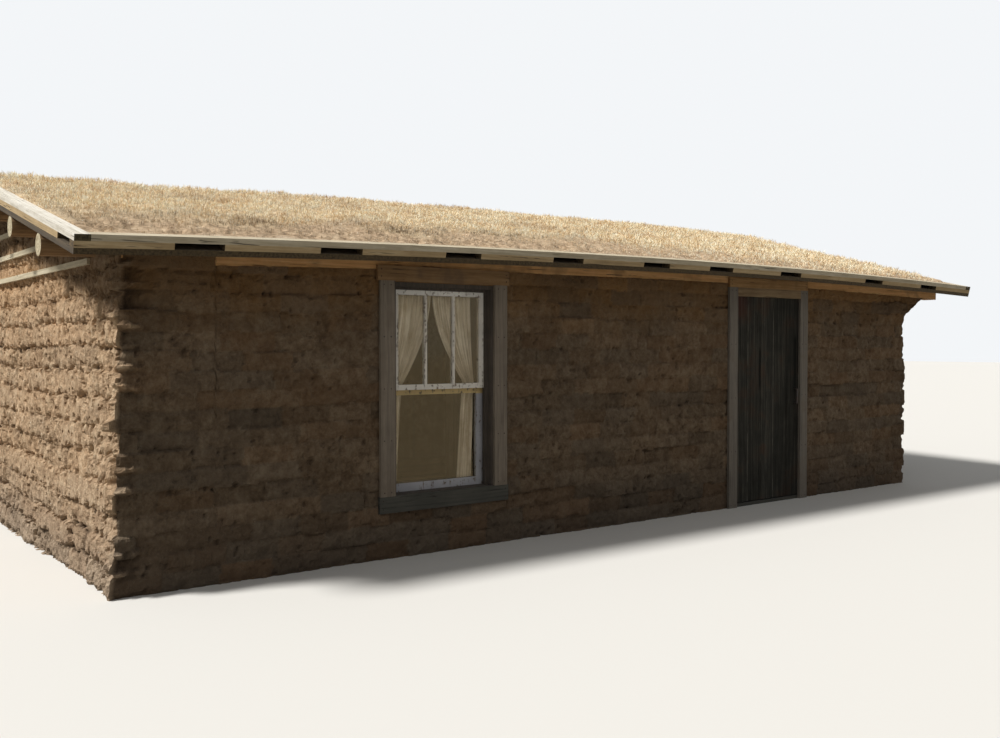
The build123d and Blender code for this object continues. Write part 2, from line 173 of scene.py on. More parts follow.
def cellsAt(tree, place, scale):
    sizes = {"Vector": place, "Scale": scale}
    return addNode(tree, "ShaderNodeTexVoronoi", sizes, feature="F1").outputs["Distance"]


def chance(tree, place):
    return addNode(tree, "ShaderNodeTexWhiteNoise", {"Vector": place}, noise_dimensions="3D").outputs["Value"]


def colours(tree, factor, stops):
    node = addNode(tree, "ShaderNodeValToRGB", {"Fac": factor})
    ramp = node.color_ramp
    while len(ramp.elements) < len(stops):
        ramp.elements.new(1.0)
    for element, (position, colour) in zip(ramp.elements, stops):
        element.position = position
        element.color = (*colour, 1.0)
    return node.outputs[0]


def blend(tree, factor, a, b, mode="MIX"):
    node = addNode(tree, "ShaderNodeMix", data_type="RGBA", blend_type=mode)
    for index, value in ((0, factor), (6, a), (7, b)):
        plug(tree, node.inputs[index], value)
    return node.outputs[2]


def shade(tree, colour, factor):
    # darkens or lightens a colour by a factor that varies over the surface
    return blend(tree, 1.0, colour, point(tree, factor, factor, factor), "MULTIPLY")


def newMaterial(name):
    material = bpy.data.materials.new(name)
    material.use_nodes = True
    tree = material.node_tree
    place = addNode(tree, "ShaderNodeTexCoord").outputs["Object"]
    return material, tree, tree.nodes["Principled BSDF"], place


def setShader(tree, shader, values):
    for name, value in values.items():
        plug(tree, shader.inputs[name], value)


def attribute(tree, name):
    return addNode(tree, "ShaderNodeAttribute", attribute_name=name).outputs["Fac"]


def setBump(tree, shader, height, distance, strength=1.0):
    bump = addNode(tree, "ShaderNodeBump", {"Height": height, "Distance": distance, "Strength": strength})
    tree.links.new(bump.outputs[0], shader.inputs["Normal"])


def newGroup(name, inputs):
    group = bpy.data.node_groups.new(name, "GeometryNodeTree")
    group.interface.new_socket("Geometry", in_out="INPUT", socket_type="NodeSocketGeometry")
    for label, kind, value in inputs:
        socket = group.interface.new_socket(label, in_out="INPUT", socket_type="NodeSocket" + kind)
        if value is not None:
            socket.default_value = value
    group.interface.new_socket("Geometry", in_out="OUTPUT", socket_type="NodeSocketGeometry")
    return group, group.nodes.new("NodeGroupInput").outputs, group.nodes.new("NodeGroupOutput").inputs


def named(group, name, kind="FLOAT"):
    return addNode(group, "GeometryNodeInputNamedAttribute", {"Name": name}, data_type=kind).outputs[0]


def keep(group, geometry, name, value, domain="POINT"):
    sizes = {"Geometry": geometry, "Name": name, "Value": value}
    node = addNode(group, "GeometryNodeStoreNamedAttribute", sizes, data_type="FLOAT", domain=domain)
    return node.outputs[0]


def randomBetween(group, low, high, seed):
    node = addNode(group, "FunctionNodeRandomValue", {2: low, 3: high, "Seed": seed}, data_type="FLOAT")
    return node.outputs[1]


def pushed(group, geometry, offset):
    return addNode(group, "GeometryNodeSetPosition", {"Geometry": geometry, "Offset": offset}).outputs[0]


def finishGroup(group, geometry, material, end):
    real = addNode(group, "GeometryNodeRealizeInstances", {"Geometry": geometry}).outputs[0]
    worn = addNode(group, "GeometryNodeSetMaterial", {"Geometry": real, "Material": material}).outputs[0]
    group.links.new(worn, end[0])


def grow(obj, group, values):
    # runs a Geometry Nodes tree on obj and keeps the result as its plain mesh
    modifier = obj.modifiers.new(group.name, "NODES")
    modifier.node_group = group
    for item in group.interface.items_tree:
        if item.in_out == "INPUT" and item.name in values:
            modifier[item.identifier] = values[item.name]
    depsgraph = bpy.context.evaluated_depsgraph_get()
    mesh = bpy.data.meshes.new_from_object(
        obj.evaluated_get(depsgraph), preserve_all_data_layers=True, depsgraph=depsgraph
    )
    obj.modifiers.remove(modifier)
    obj.data = mesh


def newObject(name, mesh):
    obj = bpy.data.objects.new(name, mesh)
    bpy.context.scene.collection.objects.link(obj)
    return obj


def fasten(obj, body, replaced=()):
    # the calls that tie a finished piece to the frame
    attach(obj, body)
    if replaced:
        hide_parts(*replaced)


def triangles(obj):
    return sum(len(face.vertices) - 2 for face in obj.data.polygons)


def loftRings(rings):
    # joins closed rings of equally many points, capped at both ends, into a closed shell
    count = len(rings[0])
    points = np.concatenate(rings)
    faces = []
    for i in range(len(rings) - 1):
        a, b = i * count, (i + 1) * count
        faces += [(a + k, b + k, b + (k + 1) % count, a + (k + 1) % count) for k in range(count)]
    faces.append(tuple(range(count - 1, -1, -1)))
    faces.append(tuple(range((len(rings) - 1) * count, len(rings) * count)))
    return points, faces


def meshOf(name, shells):
    # one mesh of several shells, with the float and vector attributes that each carries
    mesh = bpy.data.meshes.new(name)
    points, faces, start = [], [], 0
    for shellPoints, shellFaces, _ in shells:
        points.append(shellPoints)
        faces += [tuple(start + k for k in face) for face in shellFaces]
        start += len(shellPoints)
    mesh.from_pydata(np.concatenate(points).tolist(), [], faces)
    for key in shells[0][2]:
        data = np.concatenate([values[key] for _, _, values in shells]).astype(np.float32)
        kind, slotName = ("FLOAT_VECTOR", "vector") if data.ndim == 2 else ("FLOAT", "value")
        mesh.attributes.new(key, kind, "POINT").data.foreach_set(slotName, data.ravel())
    mesh.update()
    return mesh


def closeUp(mesh):
    # merges doubles, drops faces with no area and turns every face outwards
    work = bmesh.new()
    work.from_mesh(mesh)
    bmesh.ops.remove_doubles(work, verts=work.verts, dist=1e-5)
    bmesh.ops.dissolve_degenerate(work, edges=work.edges, dist=1e-6)
    bmesh.ops.recalc_face_normals(work, faces=work.faces)
    work.to_mesh(mesh)
    work.free()


def castZ(nodeName, x, y, fromZ, direction):
    # the height at which a line up or down through (x, y) meets a node; a nudge gets past a seam
    for nudge in (0.0, 0.0007, -0.0011, 0.0019):
        start = Vector((x + nudge, y + nudge, fromZ))
        hit, where, _, _ = nodes[nodeName].ray_cast(start, Vector((0, 0, direction)))
        if hit:
            return where.z
    raise ValueError(f"no {nodeName} at {x:.3f}, {y:.3f}")


castFrom = {"overRoof": 4.0, "underRoof": 1.0}    # heights at which the lines start


def topAt(nodeName, x, y):
    return castZ(nodeName, x, y, castFrom["overRoof"], -1)


def undersideAt(nodeName, x, y):
    return castZ(nodeName, x, y, castFrom["underRoof"], 1)


# Sod walls: the outer faces become a fine sheet, pushed in and out into courses of sods.

earthLook = {
    "dark": tone(144, 117, 89),
    "middle": tone(190, 160, 127),
    "light": tone(220, 193, 158),
    "topOchre": tone(232, 170, 96),
    "footGrey": tone(152, 138, 122),
    # the tone of the painted shade in the hollows
    "root": tone(216, 196, 162),
    "joint": tone(50, 37, 27),
    "sodSpread": 0.22,       # how far one sod's tone lies from the next one's
    "greySod": tone(162, 149, 132),
    "brownSod": tone(192, 142, 96),
    "hueShare": 0.38,        # the most that a sod takes of either of these two
    "ochreBand": (1.75, 2.3),    # the heights between which the ochre at the top sets in
    "greyBand": (0.55, -0.15),   # and the grey at the foot
    "footShare": 0.6,
    "rootWaves": (60.0, 60.0, 200.0),    # to a metre along each axis, for the pale bits of root
    "rootShare": 0.5,
    "hollowShadeShare": 0.72,      # painted shade: how dark the deepest hollows are made
    "shadedFaces": 0.355,      # painted shade: the front, the back and the far end, out of the key light, are darker than the near gable
    "rakeShadow": 0.50,       # painted shadow of the overhang on the near gable's top
    "rakeBand": (0.32, 0.50),    # its depth below the deck, fading from the first figure to the second
    "deckInset": 0.3,        # the deck's underside is measured this far in from its end
    "deckSpots": (-0.05, -2.5),    # and at these two places, near the ridge and near the eave
    "grainSize": 34.0,
    "bump": 0.024,
    "surface": {"Roughness": 0.95, "Specular IOR Level": 0.15},
}


def earthMaterial():
    material, tree, shader, place = newMaterial("sod earth")
    look = earthLook
    _, y, z = partsOf(tree, place)
    hollow = attribute(tree, "hollow")
    broad = noiseAt(tree, place, 2.3, 3.0, 0.6)
    lumps = noiseAt(tree, place, 13.0, 4.0, 0.62)
    grain = noiseAt(tree, place, look["grainSize"], 5.0, 0.7)
    mixed = timesPlus(tree, lumps, 0.55, times(tree, grain, 0.45))
    base = colours(tree, mixed, [(0.36, look["dark"]), (0.5, look["middle"]), (0.64, look["light"])])
    high = remap(tree, timesPlus(tree, broad, 0.5, z), *look["ochreBand"])
    bleach = attribute(tree, "bleach")
    high = times(tree, high, remap(tree, bleach, 0.0, 0.6, 0.64, 0.12))
    base = blend(tree, high, base, look["topOchre"])
    low = remap(tree, timesPlus(tree, broad, -0.3, z), *look["greyBand"])
    base = blend(tree, times(tree, low, look["footShare"]), base, look["footGrey"])
    hue = attribute(tree, "sodHue")
    for share, colour in ((look["hueShare"], look["greySod"]), (-look["hueShare"], look["brownSod"])):
        base = blend(tree, times(tree, hue, share, clamp=True), base, colour)
    base = shade(tree, base, remap(tree, broad, 0.3, 0.7, 0.93, 1.06))
    base = shade(tree, base, timesPlus(tree, attribute(tree, "sodTone"), look["sodSpread"], 1.0))
    fleck = noiseAt(tree, stretched(tree, place, look["rootWaves"]), 1.0, 2.0, 0.5)
    fleck = remap(tree, fleck, 0.66, 0.74)
    base = blend(tree, times(tree, fleck, look["rootShare"]), base, look["root"])
    # painted shade: faces out of the key light are darkened, and so is the near gable's top under the
    # overhang
    paintedShade = remap(tree, bleach, 0.0, 1.0, look["shadedFaces"], 1.0)
    # the deck's underside over the near gable, as a height that falls with the distance from the ridge
    deckX = cadBox[0][0] + look["deckInset"]
    ridgeY, eaveY = look["deckSpots"]
    ridgeLine = undersideAt("front_roof_deck", deckX, ridgeY)
    fall = (ridgeLine - undersideAt("front_roof_deck", deckX, eaveY)) / (ridgeY - eaveY)
    below = minus(tree, timesPlus(tree, absolute(tree, y), -fall, ridgeLine), z)
    below = timesPlus(tree, centred(tree, lumps), 0.35, below)
    # painted shadow of the rake overhang, in a band below the deck
    shadow = times(tree, bleach, remap(tree, below, *look["rakeBand"], 1.0 - look["rakeShadow"], 0.0))
    paintedShade = times(tree, paintedShade, minus(tree, 1.0, shadow))
    base = shade(tree, base, paintedShade)
    # painted shade in the hollows, darker the deeper they lie
    base = blend(tree, remap(tree, hollow, 0.25, 0.95, 0.0, look["hollowShadeShare"]), base, look["joint"])
    setShader(tree, shader, {"Base Color": base, **look["surface"]})
    roots = noiseAt(tree, stretched(tree, place, (75.0, 75.0, 20.0)), 1.0, 3.0, 0.6)
    height = timesPlus(tree, roots, 0.6, timesPlus(tree, grain, 0.9, lumps))
    setBump(tree, shader, height, look["bump"], 0.9)
    return material


sodEarth = earthMaterial()

# the inputs of the tree that lays the courses, for the front
courses = {
    "Course Height": 0.122,
    "Sod Length": 0.34,
    "Waviness": 0.030,
    "Joint Width": 0.036,
    "Joint Depth": 0.021,
    "Stagger": 0.012,
    "Crumble": 0.026,
    "Root Depth": 0.016,       # upright lumps of matted roots, laid out anew in each course
    "Pit Depth": 0.024,
    "Pit Density": 15.0,       # pits along a metre
    "Pit From": 0.41,          # a lower figure lets the pits lie closer
    "Row Holes": 0.0,          # depth of the holes between the roots at each joint
    "Tone Spread": 1.0,
    "Ledge Reach": 0.060,      # thin ledges stick out by this much at a ragged corner
    "Seed": 4.0,
}
# the gables have weathered further: their joints are fainter and their faces more broken
gableCourses = {
    **courses, "Course Height": 0.165, "Sod Length": 0.46, "Waviness": 0.050, "Joint Width": 0.040,
    "Joint Depth": 0.012, "Stagger": 0.016, "Crumble": 0.036, "Root Depth": 0.034, "Pit Depth": 0.062,
    "Pit Density": 16.0, "Pit From": 0.36, "Row Holes": 0.055, "Tone Spread": 0.3,
}
# figures that the front and the gables share
sods = {
    "rowShift": 7.0,           # sods along which a course may be shifted against the next one
    "pitBand": 0.16,           # how softly the pitted patches begin
    "raggedStagger": 3.2,      # how much more the sods stand in and out at a ragged corner
    "raggedReach": 0.12,       # and how far apart, in and out, whole parts of it may lie
    "hollowDepth": 0.05,       # a hollow of this depth gets the full painted shade
    "ledgeSunSide": 0.8,        # painted light: how far the ledges that catch the key light are spared the painted shade, against 1 on the near gable
    "sodTone": 1.5,            # spread of the tones from sod to sod
    "rowTone": 0.5,            # and from course to course
    "sodHue": 1.5,
    "rowHue": 0.9,
}


def courseGroup():
    inputs = [(label, "Float", value) for label, value in courses.items()]
    inputs += [("Gable " + label, "Float", value) for label, value in gableCourses.items()]
    g, given, end = newGroup("sod courses", inputs + [("Material", "Material", None)])
    where = addNode(g, "GeometryNodeInputPosition").outputs[0]
    # each figure is the front's or the gable's, after the face that a point lies on
    onGable = named(g, "gable")
    start = {
        label: timesPlus(g, minus(g, given["Gable " + label], given[label]), onGable, given[label])
        for label in courses
    }
    z = partsOf(g, where)[2]
    along = timesPlus(g, start["Seed"], 3.7, named(g, "along"))
    flat = point(g, along, start["Seed"], z)
    # the courses run level but wander a little, as hand-laid sods do
    wander = centred(g, noiseAt(g, flat, 0.9, 2.0))
    wander = timesPlus(g, centred(g, noiseAt(g, flat, 6.0, 2.0)), 0.5, wander)
    level = timesPlus(g, wander, times(g, start["Waviness"], 2.0), z)
    course = plus(g, calc(g, "DIVIDE", level, start["Course Height"]), 50.0)
    row = calc(g, "FLOOR", course)
    up = calc(g, "FRACT", course)
    rowChance = chance(g, point(g, row, 1.7, start["Seed"]))
    shift = timesPlus(g, rowChance, sods["rowShift"], calc(g, "DIVIDE", along, start["Sod Length"]))
    shift = timesPlus(g, noiseAt(g, flat, 4.0, 2.0), 0.35, shift)
    sod = calc(g, "FLOOR", shift)
    over = calc(g, "FRACT", shift)
    sodChance = chance(g, point(g, row, sod, start["Seed"]))

    def nearEdge(part, size):
        # 1 on the joint, 0 past its width
        gap = times(g, calc(g, "MINIMUM", part, minus(g, 1.0, part)), size)
        return minus(g, 1.0, remap(g, gap, 0.0, start["Joint Width"]))

    bedStrength = noiseAt(g, point(g, times(g, along, 3.2), row, 2.0), 1.0, 2.0)
    bedStrength = remap(g, bedStrength, 0.38, 0.72, 0.18, 0.9)
    headStrength = remap(g, chance(g, point(g, row, sod, 8.0)), 0.45, 1.0, 0.0, 0.8)
    headStrength = times(g, headStrength, remap(g, noiseAt(g, flat, 9.0, 2.0), 0.4, 0.6, 0.2, 1.0))
    bed = times(g, nearEdge(up, start["Course Height"]), bedStrength)
    head = times(g, nearEdge(over, start["Sod Length"]), headStrength)
    joint = calc(g, "MAXIMUM", bed, head)
    pits = remap(g, cellsAt(g, where, start["Pit Density"]), 0.34, 0.08)
    pitted = noiseAt(g, where, 2.6, 2.0)
    pitted = remap(g, pitted, start["Pit From"], plus(g, start["Pit From"], sods["pitBand"]))
    pits = times(g, pits, pitted)
    crumbs = centred(g, noiseAt(g, where, 11.0, 4.0, 0.62))
    hanging = point(g, times(g, along, 21.0), times(g, row, 5.1), times(g, z, 7.0))
    roots = centred(g, noiseAt(g, hanging, 1.0, 2.0, 0.6))
    ragged = named(g, "ragged")
    push = times(g, centred(g, sodChance), times(g, start["Stagger"], 2.0))
    push = timesPlus(g, centred(g, rowChance), start["Stagger"], push)
    push = times(g, push, timesPlus(g, ragged, sods["raggedStagger"], 1.0))
    corner = centred(g, noiseAt(g, point(g, times(g, along, 1.5), row, times(g, z, 5.0)), 1.0, 3.0))
    push = timesPlus(g, corner, times(g, ragged, sods["raggedReach"]), push)
    push = timesPlus(g, crumbs, times(g, start["Crumble"], 2.0), push)
    push = timesPlus(g, roots, times(g, start["Root Depth"], 2.0), push)
    push = timesPlus(g, joint, times(g, start["Joint Depth"], -1.0), push)
    push = timesPlus(g, pits, times(g, start["Pit Depth"], -1.0), push)
    holes = times(g, nearEdge(up, start["Course Height"]), remap(g, roots, 0.04, -0.08))
    holes = times(g, holes, timesPlus(g, bedStrength, 0.6, 0.4))
    push = timesPlus(g, holes, times(g, start["Row Holes"], -1.0), push)
    push = between(g, named(g, "least"), push, named(g, "most"))
    rough = timesPlus(g, centred(g, noiseAt(g, where, 24.0, 2.0)), 0.5, up)
    thin = remap(g, absolute(g, minus(g, rough, 0.2)), 0.26, 0.06)
    ledge = times(g, thin, remap(g, chance(g, point(g, row, 3.0, 11.0)), 0.5, 0.75))
    broken = noiseAt(g, point(g, times(g, along, 9.0), row, 4.0), 1.0, 2.0)
    ledge = times(g, ledge, remap(g, broken, 0.38, 0.55))
    ledge = times(g, ledge, calc(g, "POWER", ragged, 1.5))
    push = timesPlus(g, ledge, start["Ledge Reach"], push)
    push = times(g, push, named(g, "fine"))
    # the depth of each hollow, which the material turns into painted shade
    hollow = times(g, push, -1 / sods["hollowDepth"], clamp=True)
    marked = keep(g, given["Geometry"], "hollow", hollow)
    # painted light and shade: the near gable and the ledges at its corners count as in the key light, and the
    # material darkens every other face as painted shade
    bleach = calc(g, "MAXIMUM", onGable, times(g, ledge, sods["ledgeSunSide"]))
    bleach = times(g, bleach, calc(g, "LESS_THAN", partsOf(g, where)[0], 0.0))
    marked = keep(g, marked, "bleach", bleach)
    # a tone and a hue of its own for each sod, and smaller ones for each course
    sodTone = aboutZero(g, chance(g, point(g, row, sod, 21.0)), sods["sodTone"])
    sodTone = plus(g, sodTone, aboutZero(g, rowChance, sods["rowTone"]))
    marked = keep(g, marked, "sodTone", times(g, sodTone, start["Tone Spread"]))
    sodHue = aboutZero(g, chance(g, point(g, row, sod, 34.0)), sods["sodHue"])
    sodHue = plus(g, sodHue, aboutZero(g, chance(g, point(g, row, 5.0, 7.0)), sods["rowHue"]))
    marked = keep(g, marked, "sodHue", times(g, sodHue, start["Tone Spread"]))
    moved = pushed(g, marked, scaled(g, named(g, "outward", "FLOAT_VECTOR"), push))
    finishGroup(g, moved, given["Material"], end)
    return g


walls = {
    "grid": 0.0158,           # spacing of the sheet on the front
    "gableGrid": 0.0145,      # on the near gable, which is pitted more finely
    "farGrid": 0.030,         # and on the other two sides
    "cornerRadius": 0.03,
    "cornerSteps": 6,
    "cornerReach": 0.22,      # how far from a corner the sods stand ragged
    "farRagged": 0.22,        # the right corners are smoother than the left ones
    "backRagged": 0.5,        # and those at the back are smoother than those at the front
    "most": 0.012,            # how far a sod stands proud of the wall's true face
    "cornerMost": 0.050,
    "least": -0.08,           # how far it may lie behind that face
    "behindBoards": -0.001,   # and how far it has to, where a board lies on the wall
    "daubEnd": -3.80,         # left of here the front's sods run up over the plate
    "daubProud": 0.006,
    "daubBelow": 0.01,        # how far below the plate that begins
    "plateWidth": 0.140,
    "leastTop": 0.04,         # the share of the wall's thickness that lies level behind its face
    "waistDepth": 0.045,      # the right wall draws in below its corbel
    "waistHeight": 1.60,
    "waistSpread": 0.27,
    "footSpread": 0.065,      # the left end spreads towards its foot
    "footHeight": 2.0,
    "footCurve": 1.3,
    "flareReach": 1.0,        # the length of front wall over which the corbel's width is shared out
    "sideways": 0.75,         # a face that looks this much sideways belongs to a gable
    "margin": 0.004,          # room left at the edges of boards and plates
    "nearly": 0.002,          # places are kept this far off the edge between two faces
    "underDeck": 0.001,
    "backShift": 20.0,        # lays the sods of the back otherwise than those of the front
}

leftFace, roomLeft = (corner[0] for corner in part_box("left_gable_wall"))
roomRight, corbelFace = (corner[0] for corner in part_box("right_gable_wall"))
frontFace, frontInner = (corner[1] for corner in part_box("front_wall_middle"))
rightFace = roomRight + (frontInner - frontFace)
corbel = {"from": 1.80, "to": 2.03, "reach": corbelFace - rightFace}
plateLow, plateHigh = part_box("wall_plates")
plateBack = frontFace + walls["plateWidth"]


def corbelAt(z):
    return np.clip((z - corbel["from"]) / (corbel["to"] - corbel["from"]), 0, 1) * corbel["reach"]


def waistAt(z):
    return -walls["waistDepth"] * np.exp(-(((z - walls["waistHeight"]) / walls["waistSpread"]) ** 2))


def footAt(z):
    return -walls["footSpread"] * np.clip(1 - z / walls["footHeight"], 0, 1) ** walls["footCurve"]


def wallTop(x, y):
    # the underside of the plate over the face of the front wall, and of the deck elsewhere
    y = -abs(y)
    if y < plateBack and x > walls["daubEnd"]:
        x = min(max(x, plateLow[0] + walls["margin"]), plateHigh[0] - walls["margin"])
        return undersideAt("wall_plates", x, (frontFace + plateBack) / 2)
    return undersideAt("front_roof_deck", x, min(y, -walls["nearly"])) - walls["underDeck"]


def station(x, y, out, inner, along, ragged=0.0, lean=0.0, spread=0.0):
    # one upright line of the sheet: its place, the way it faces and what shapes it there
    return {"x": x, "y": y, "out": out, "inner": inner, "along": along, "ragged": ragged,
            "lean": lean, "spread": spread, "gable": float(abs(out[0]) > walls["sideways"])}


def steps(start, stop, step):
    return np.linspace(start, stop, max(2, round(abs(stop - start) / step)) + 1)


def roundedCorner(centreX, fromAngle):
    # the points of a rounded corner, each with its share of the turn and the way it faces
    radius = walls["cornerRadius"]
    for turn in np.linspace(0, 1, walls["cornerSteps"]):
        angle = fromAngle + turn * math.pi / 2
        out = (math.cos(angle), math.sin(angle))
        yield turn, out, centreX + out[0] * radius, frontFace + radius + out[1] * radius


def frontStations(fromX, toX, step, leftCorner=False, rightCorner=False):
    # stations from the left end to the right one, with the end faces back to the room's line
    radius, reach = walls["cornerRadius"], walls["cornerReach"]
    found = []
    if leftCorner:
        for y in steps(frontInner, frontFace + radius, step)[:-1]:
            along = leftFace - (y - frontFace)
            ragged = max(0.0, 1 - (y - frontFace) / reach)
            found.append(station(leftFace, y, (-1, 0), (roomLeft, frontInner), along, ragged, 0.0, 1.0))
        for turn, out, x, y in roundedCorner(leftFace + radius, math.pi):
            along = leftFace + turn * radius
            found.append(station(x, y, out, (roomLeft, frontInner), along, 1.0, 0.0, 1.0))
        fromX = leftFace + radius + step
    endX = rightFace - radius - step if rightCorner else toX
    for x in steps(fromX, endX, step):
        innerX = min(max(x, roomLeft), roomRight)
        ragged = lean = spread = 0.0
        if leftCorner:
            ragged = max(ragged, 1 - (x - leftFace) / reach)
            spread = max(0.0, 1 - (x - leftFace) / walls["flareReach"])
        if rightCorner:
            ragged = max(ragged, walls["farRagged"] * (1 - (rightFace - x) / reach))
            lean = max(0.0, 1 - (rightFace - x) / walls["flareReach"])
        found.append(station(x, frontFace, (0, -1), (innerX, frontInner), x, ragged, lean, spread))
    if rightCorner:
        for turn, out, x, y in roundedCorner(rightFace - radius, -math.pi / 2):
            along = rightFace + (turn - 1) * radius
            found.append(station(x, y, out, (roomRight, frontInner), along, walls["farRagged"], 1.0))
        for y in steps(frontFace + radius, frontInner, step)[1:]:
            ragged = walls["farRagged"] * max(0.0, 1 - (y - frontFace) / reach)
            along = rightFace + (y - frontFace)
            found.append(station(rightFace, y, (1, 0), (roomRight, frontInner), along, ragged, 1.0))
    return found


def gableStations(side, step):
    found = []
    for y in steps(frontInner, -frontInner, step):
        run = y - frontFace
        if side < 0:
            found.append(station(leftFace, y, (-1, 0), (roomLeft, y), leftFace - run, spread=1.0))
        else:
            found.append(station(rightFace, y, (1, 0), (roomRight, y), rightFace + run, lean=1.0))
    return found


def within(values, low, high):
    return (values > low - walls["margin"]) & (values < high + walls["margin"])


def shellOf(stations, bottom, top, step, mirror=False, covers=()):
    # top is a height, or None for a wall that reaches the plate and the deck
    tallest = max(wallTop(s["x"], s["y"]) for s in stations) if top is None else top
    rows = max(2, round((tallest - bottom) / step))
    rings = []
    values = {"along": [], "ragged": [], "gable": [], "most": [], "least": [], "fine": [], "outward": []}
    for s in stations:
        crown = wallTop(s["x"] + walls["nearly"] * -s["out"][0], s["y"]) if top is None else top
        z = np.linspace(bottom, crown, rows + 1)
        shiftX = (corbelAt(z) + waistAt(z)) * s["lean"] + footAt(z) * s["spread"]
        outer = np.column_stack([s["x"] + shiftX, np.full_like(z, s["y"]), z])
        inner = np.array(s["inner"])
        edge = np.array([outer[-1][0], s["y"]])
        stepped = s["y"] < plateBack and s["x"] > walls["daubEnd"]
        share = (plateBack - s["y"]) / (inner[1] - s["y"]) if stepped else 0.0
        notch = edge + (inner - edge) * max(share, walls["leastTop"])
        if top is None:
            behindPlate = max(notch[1], plateBack + walls["nearly"])
            back = wallTop(notch[0], behindPlate if stepped else notch[1])
            cap = [[*notch, crown if stepped else back], [*notch, back], [*inner, wallTop(*inner)]]
        else:
            cap = [[*notch, top], [*notch, top], [*inner, top]]
        ring = np.vstack([outer, cap, [[*inner, bottom]]])
        cover = np.zeros(len(ring), bool)
        for low, high in covers:
            cover |= within(ring[:, 0], low[0], high[0]) & within(ring[:, 2], low[2], high[2])
        most = walls["most"] + (walls["cornerMost"] - walls["most"]) * s["ragged"]
        onSheet = np.arange(len(ring)) <= rows
        rings.append(ring)
        along = s["along"] + corbelAt(z) * s["lean"]
        values["along"].append(np.concatenate([along, np.full(len(ring) - len(z), s["along"])]))
        values["ragged"].append(np.full(len(ring), s["ragged"]))
        values["gable"].append(np.full(len(ring), s["gable"]))
        values["most"].append(np.where(cover, walls["behindBoards"], most))
        daubed = (s["x"] <= walls["daubEnd"]) & (s["y"] < plateBack) & (top is None)
        daubed = daubed & (ring[:, 2] > plateLow[2] - walls["daubBelow"])
        values["least"].append(np.where(daubed, walls["daubProud"], walls["least"]))
        values["fine"].append(onSheet.astype(float))
        values["outward"].append(np.tile([s["out"][0], s["out"][1], 0.0], (len(ring), 1)))
    values = {key: np.concatenate(lists) for key, lists in values.items()}
    points, faces = loftRings(rings)
    if mirror:
        values["ragged"] *= walls["backRagged"]
        points[:, 1] *= -1
        values["outward"][:, 1] *= -1
        values["along"] = -values["along"] - walls["backShift"]
    return points, faces, values


def buildWalls():
    group = courseGroup()
    grid, far = walls["grid"], walls["farGrid"]
    boards = ("window_casings", "window_head_casing", "window_sill_board",
              "door_casings", "door_lintel_board")
    covers = [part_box(name) for name in boards]
    left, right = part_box("front_wall_left"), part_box("front_wall_right")
    middle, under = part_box("front_wall_middle"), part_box("front_wall_under_window")
    frontParts = (
        (frontStations(left[0][0], left[1][0], grid, leftCorner=True), None),
        (frontStations(under[0][0], under[1][0], grid), under[1][2]),
        (frontStations(middle[0][0], middle[1][0], grid), None),
        (frontStations(right[0][0], None, grid, rightCorner=True), None),
    )
    pieces = {
        "frontSods": [shellOf(stations, 0.0, top, grid, covers=covers) for stations, top in frontParts],
        "leftGableSods": [shellOf(gableStations(-1, walls["gableGrid"]), 0.0, None, walls["gableGrid"])],
        "rightGableSods": [shellOf(gableStations(1, far), 0.0, None, far)],
        "backSods": [shellOf(frontStations(None, None, far, True, True), 0.0, None, far, mirror=True)],
    }
    stoodFor = {
        "frontSods": ("front_wall_left", "front_wall_under_window", "front_wall_middle", "front_wall_right"),
        "leftGableSods": ("left_gable_wall",),
        "rightGableSods": ("right_gable_wall",),
        "backSods": ("back_wall",),
    }
    for name, shells in pieces.items():
        obj = newObject(name, meshOf(name, shells))
        closeUp(obj.data)
        grow(obj, group, {"Material": sodEarth})
        fasten(obj, "house", stoodFor[name])
        print("sod wall", name, triangles(obj))


buildWalls()


# Roof turf: a lumpy bed of soil and thatch under dry grass.

thatchLook = {
    "soil": tone(176, 150, 120),
    "duff": tone(214, 190, 154),
    "straw": tone(248, 228, 192),
    "sandy": tone(220, 198, 170),
    "grey": tone(146, 130, 112),
    # painted shade for the upright faces of the bed, in the gaps behind the curbs
    "gapShade": tone(70, 54, 38),
    "clodDark": tone(114, 92, 70),       # bare, broken soil along the eaves
    "clodMiddle": tone(182, 154, 124),
    "clodLight": tone(222, 196, 162),
    "greyShare": 0.55,
    "brokenShare": 0.85,
    "sandyShare": 0.7,
    "sandyFrom": 3.04,       # the sandy soil next to the eave curb, as a distance from the ridge
    "sandyTo": 3.18,
    "fibreWaves": (160.0, 70.0, 70.0),
    "bump": 0.012,
    "surface": {"Roughness": 0.95, "Specular IOR Level": 0.12},
}
# the band of broken soil along the eaves starts at a line that wanders up and down the slope
lowBand = {"from": 2.05, "to": 2.75, "broadWander": 2.4, "clumpWander": 1.0}
turfNoise = {"broad": (1.6, 3.0, 0.6), "clumps": (9.0, 4.0, 0.65)}    # scale, detail, roughness


def lowBandAt(tree, broad, clumps, out):
    reach = timesPlus(tree, centred(tree, broad), lowBand["broadWander"], out)
    reach = timesPlus(tree, centred(tree, clumps), lowBand["clumpWander"], reach)
    return remap(tree, reach, lowBand["from"], lowBand["to"])


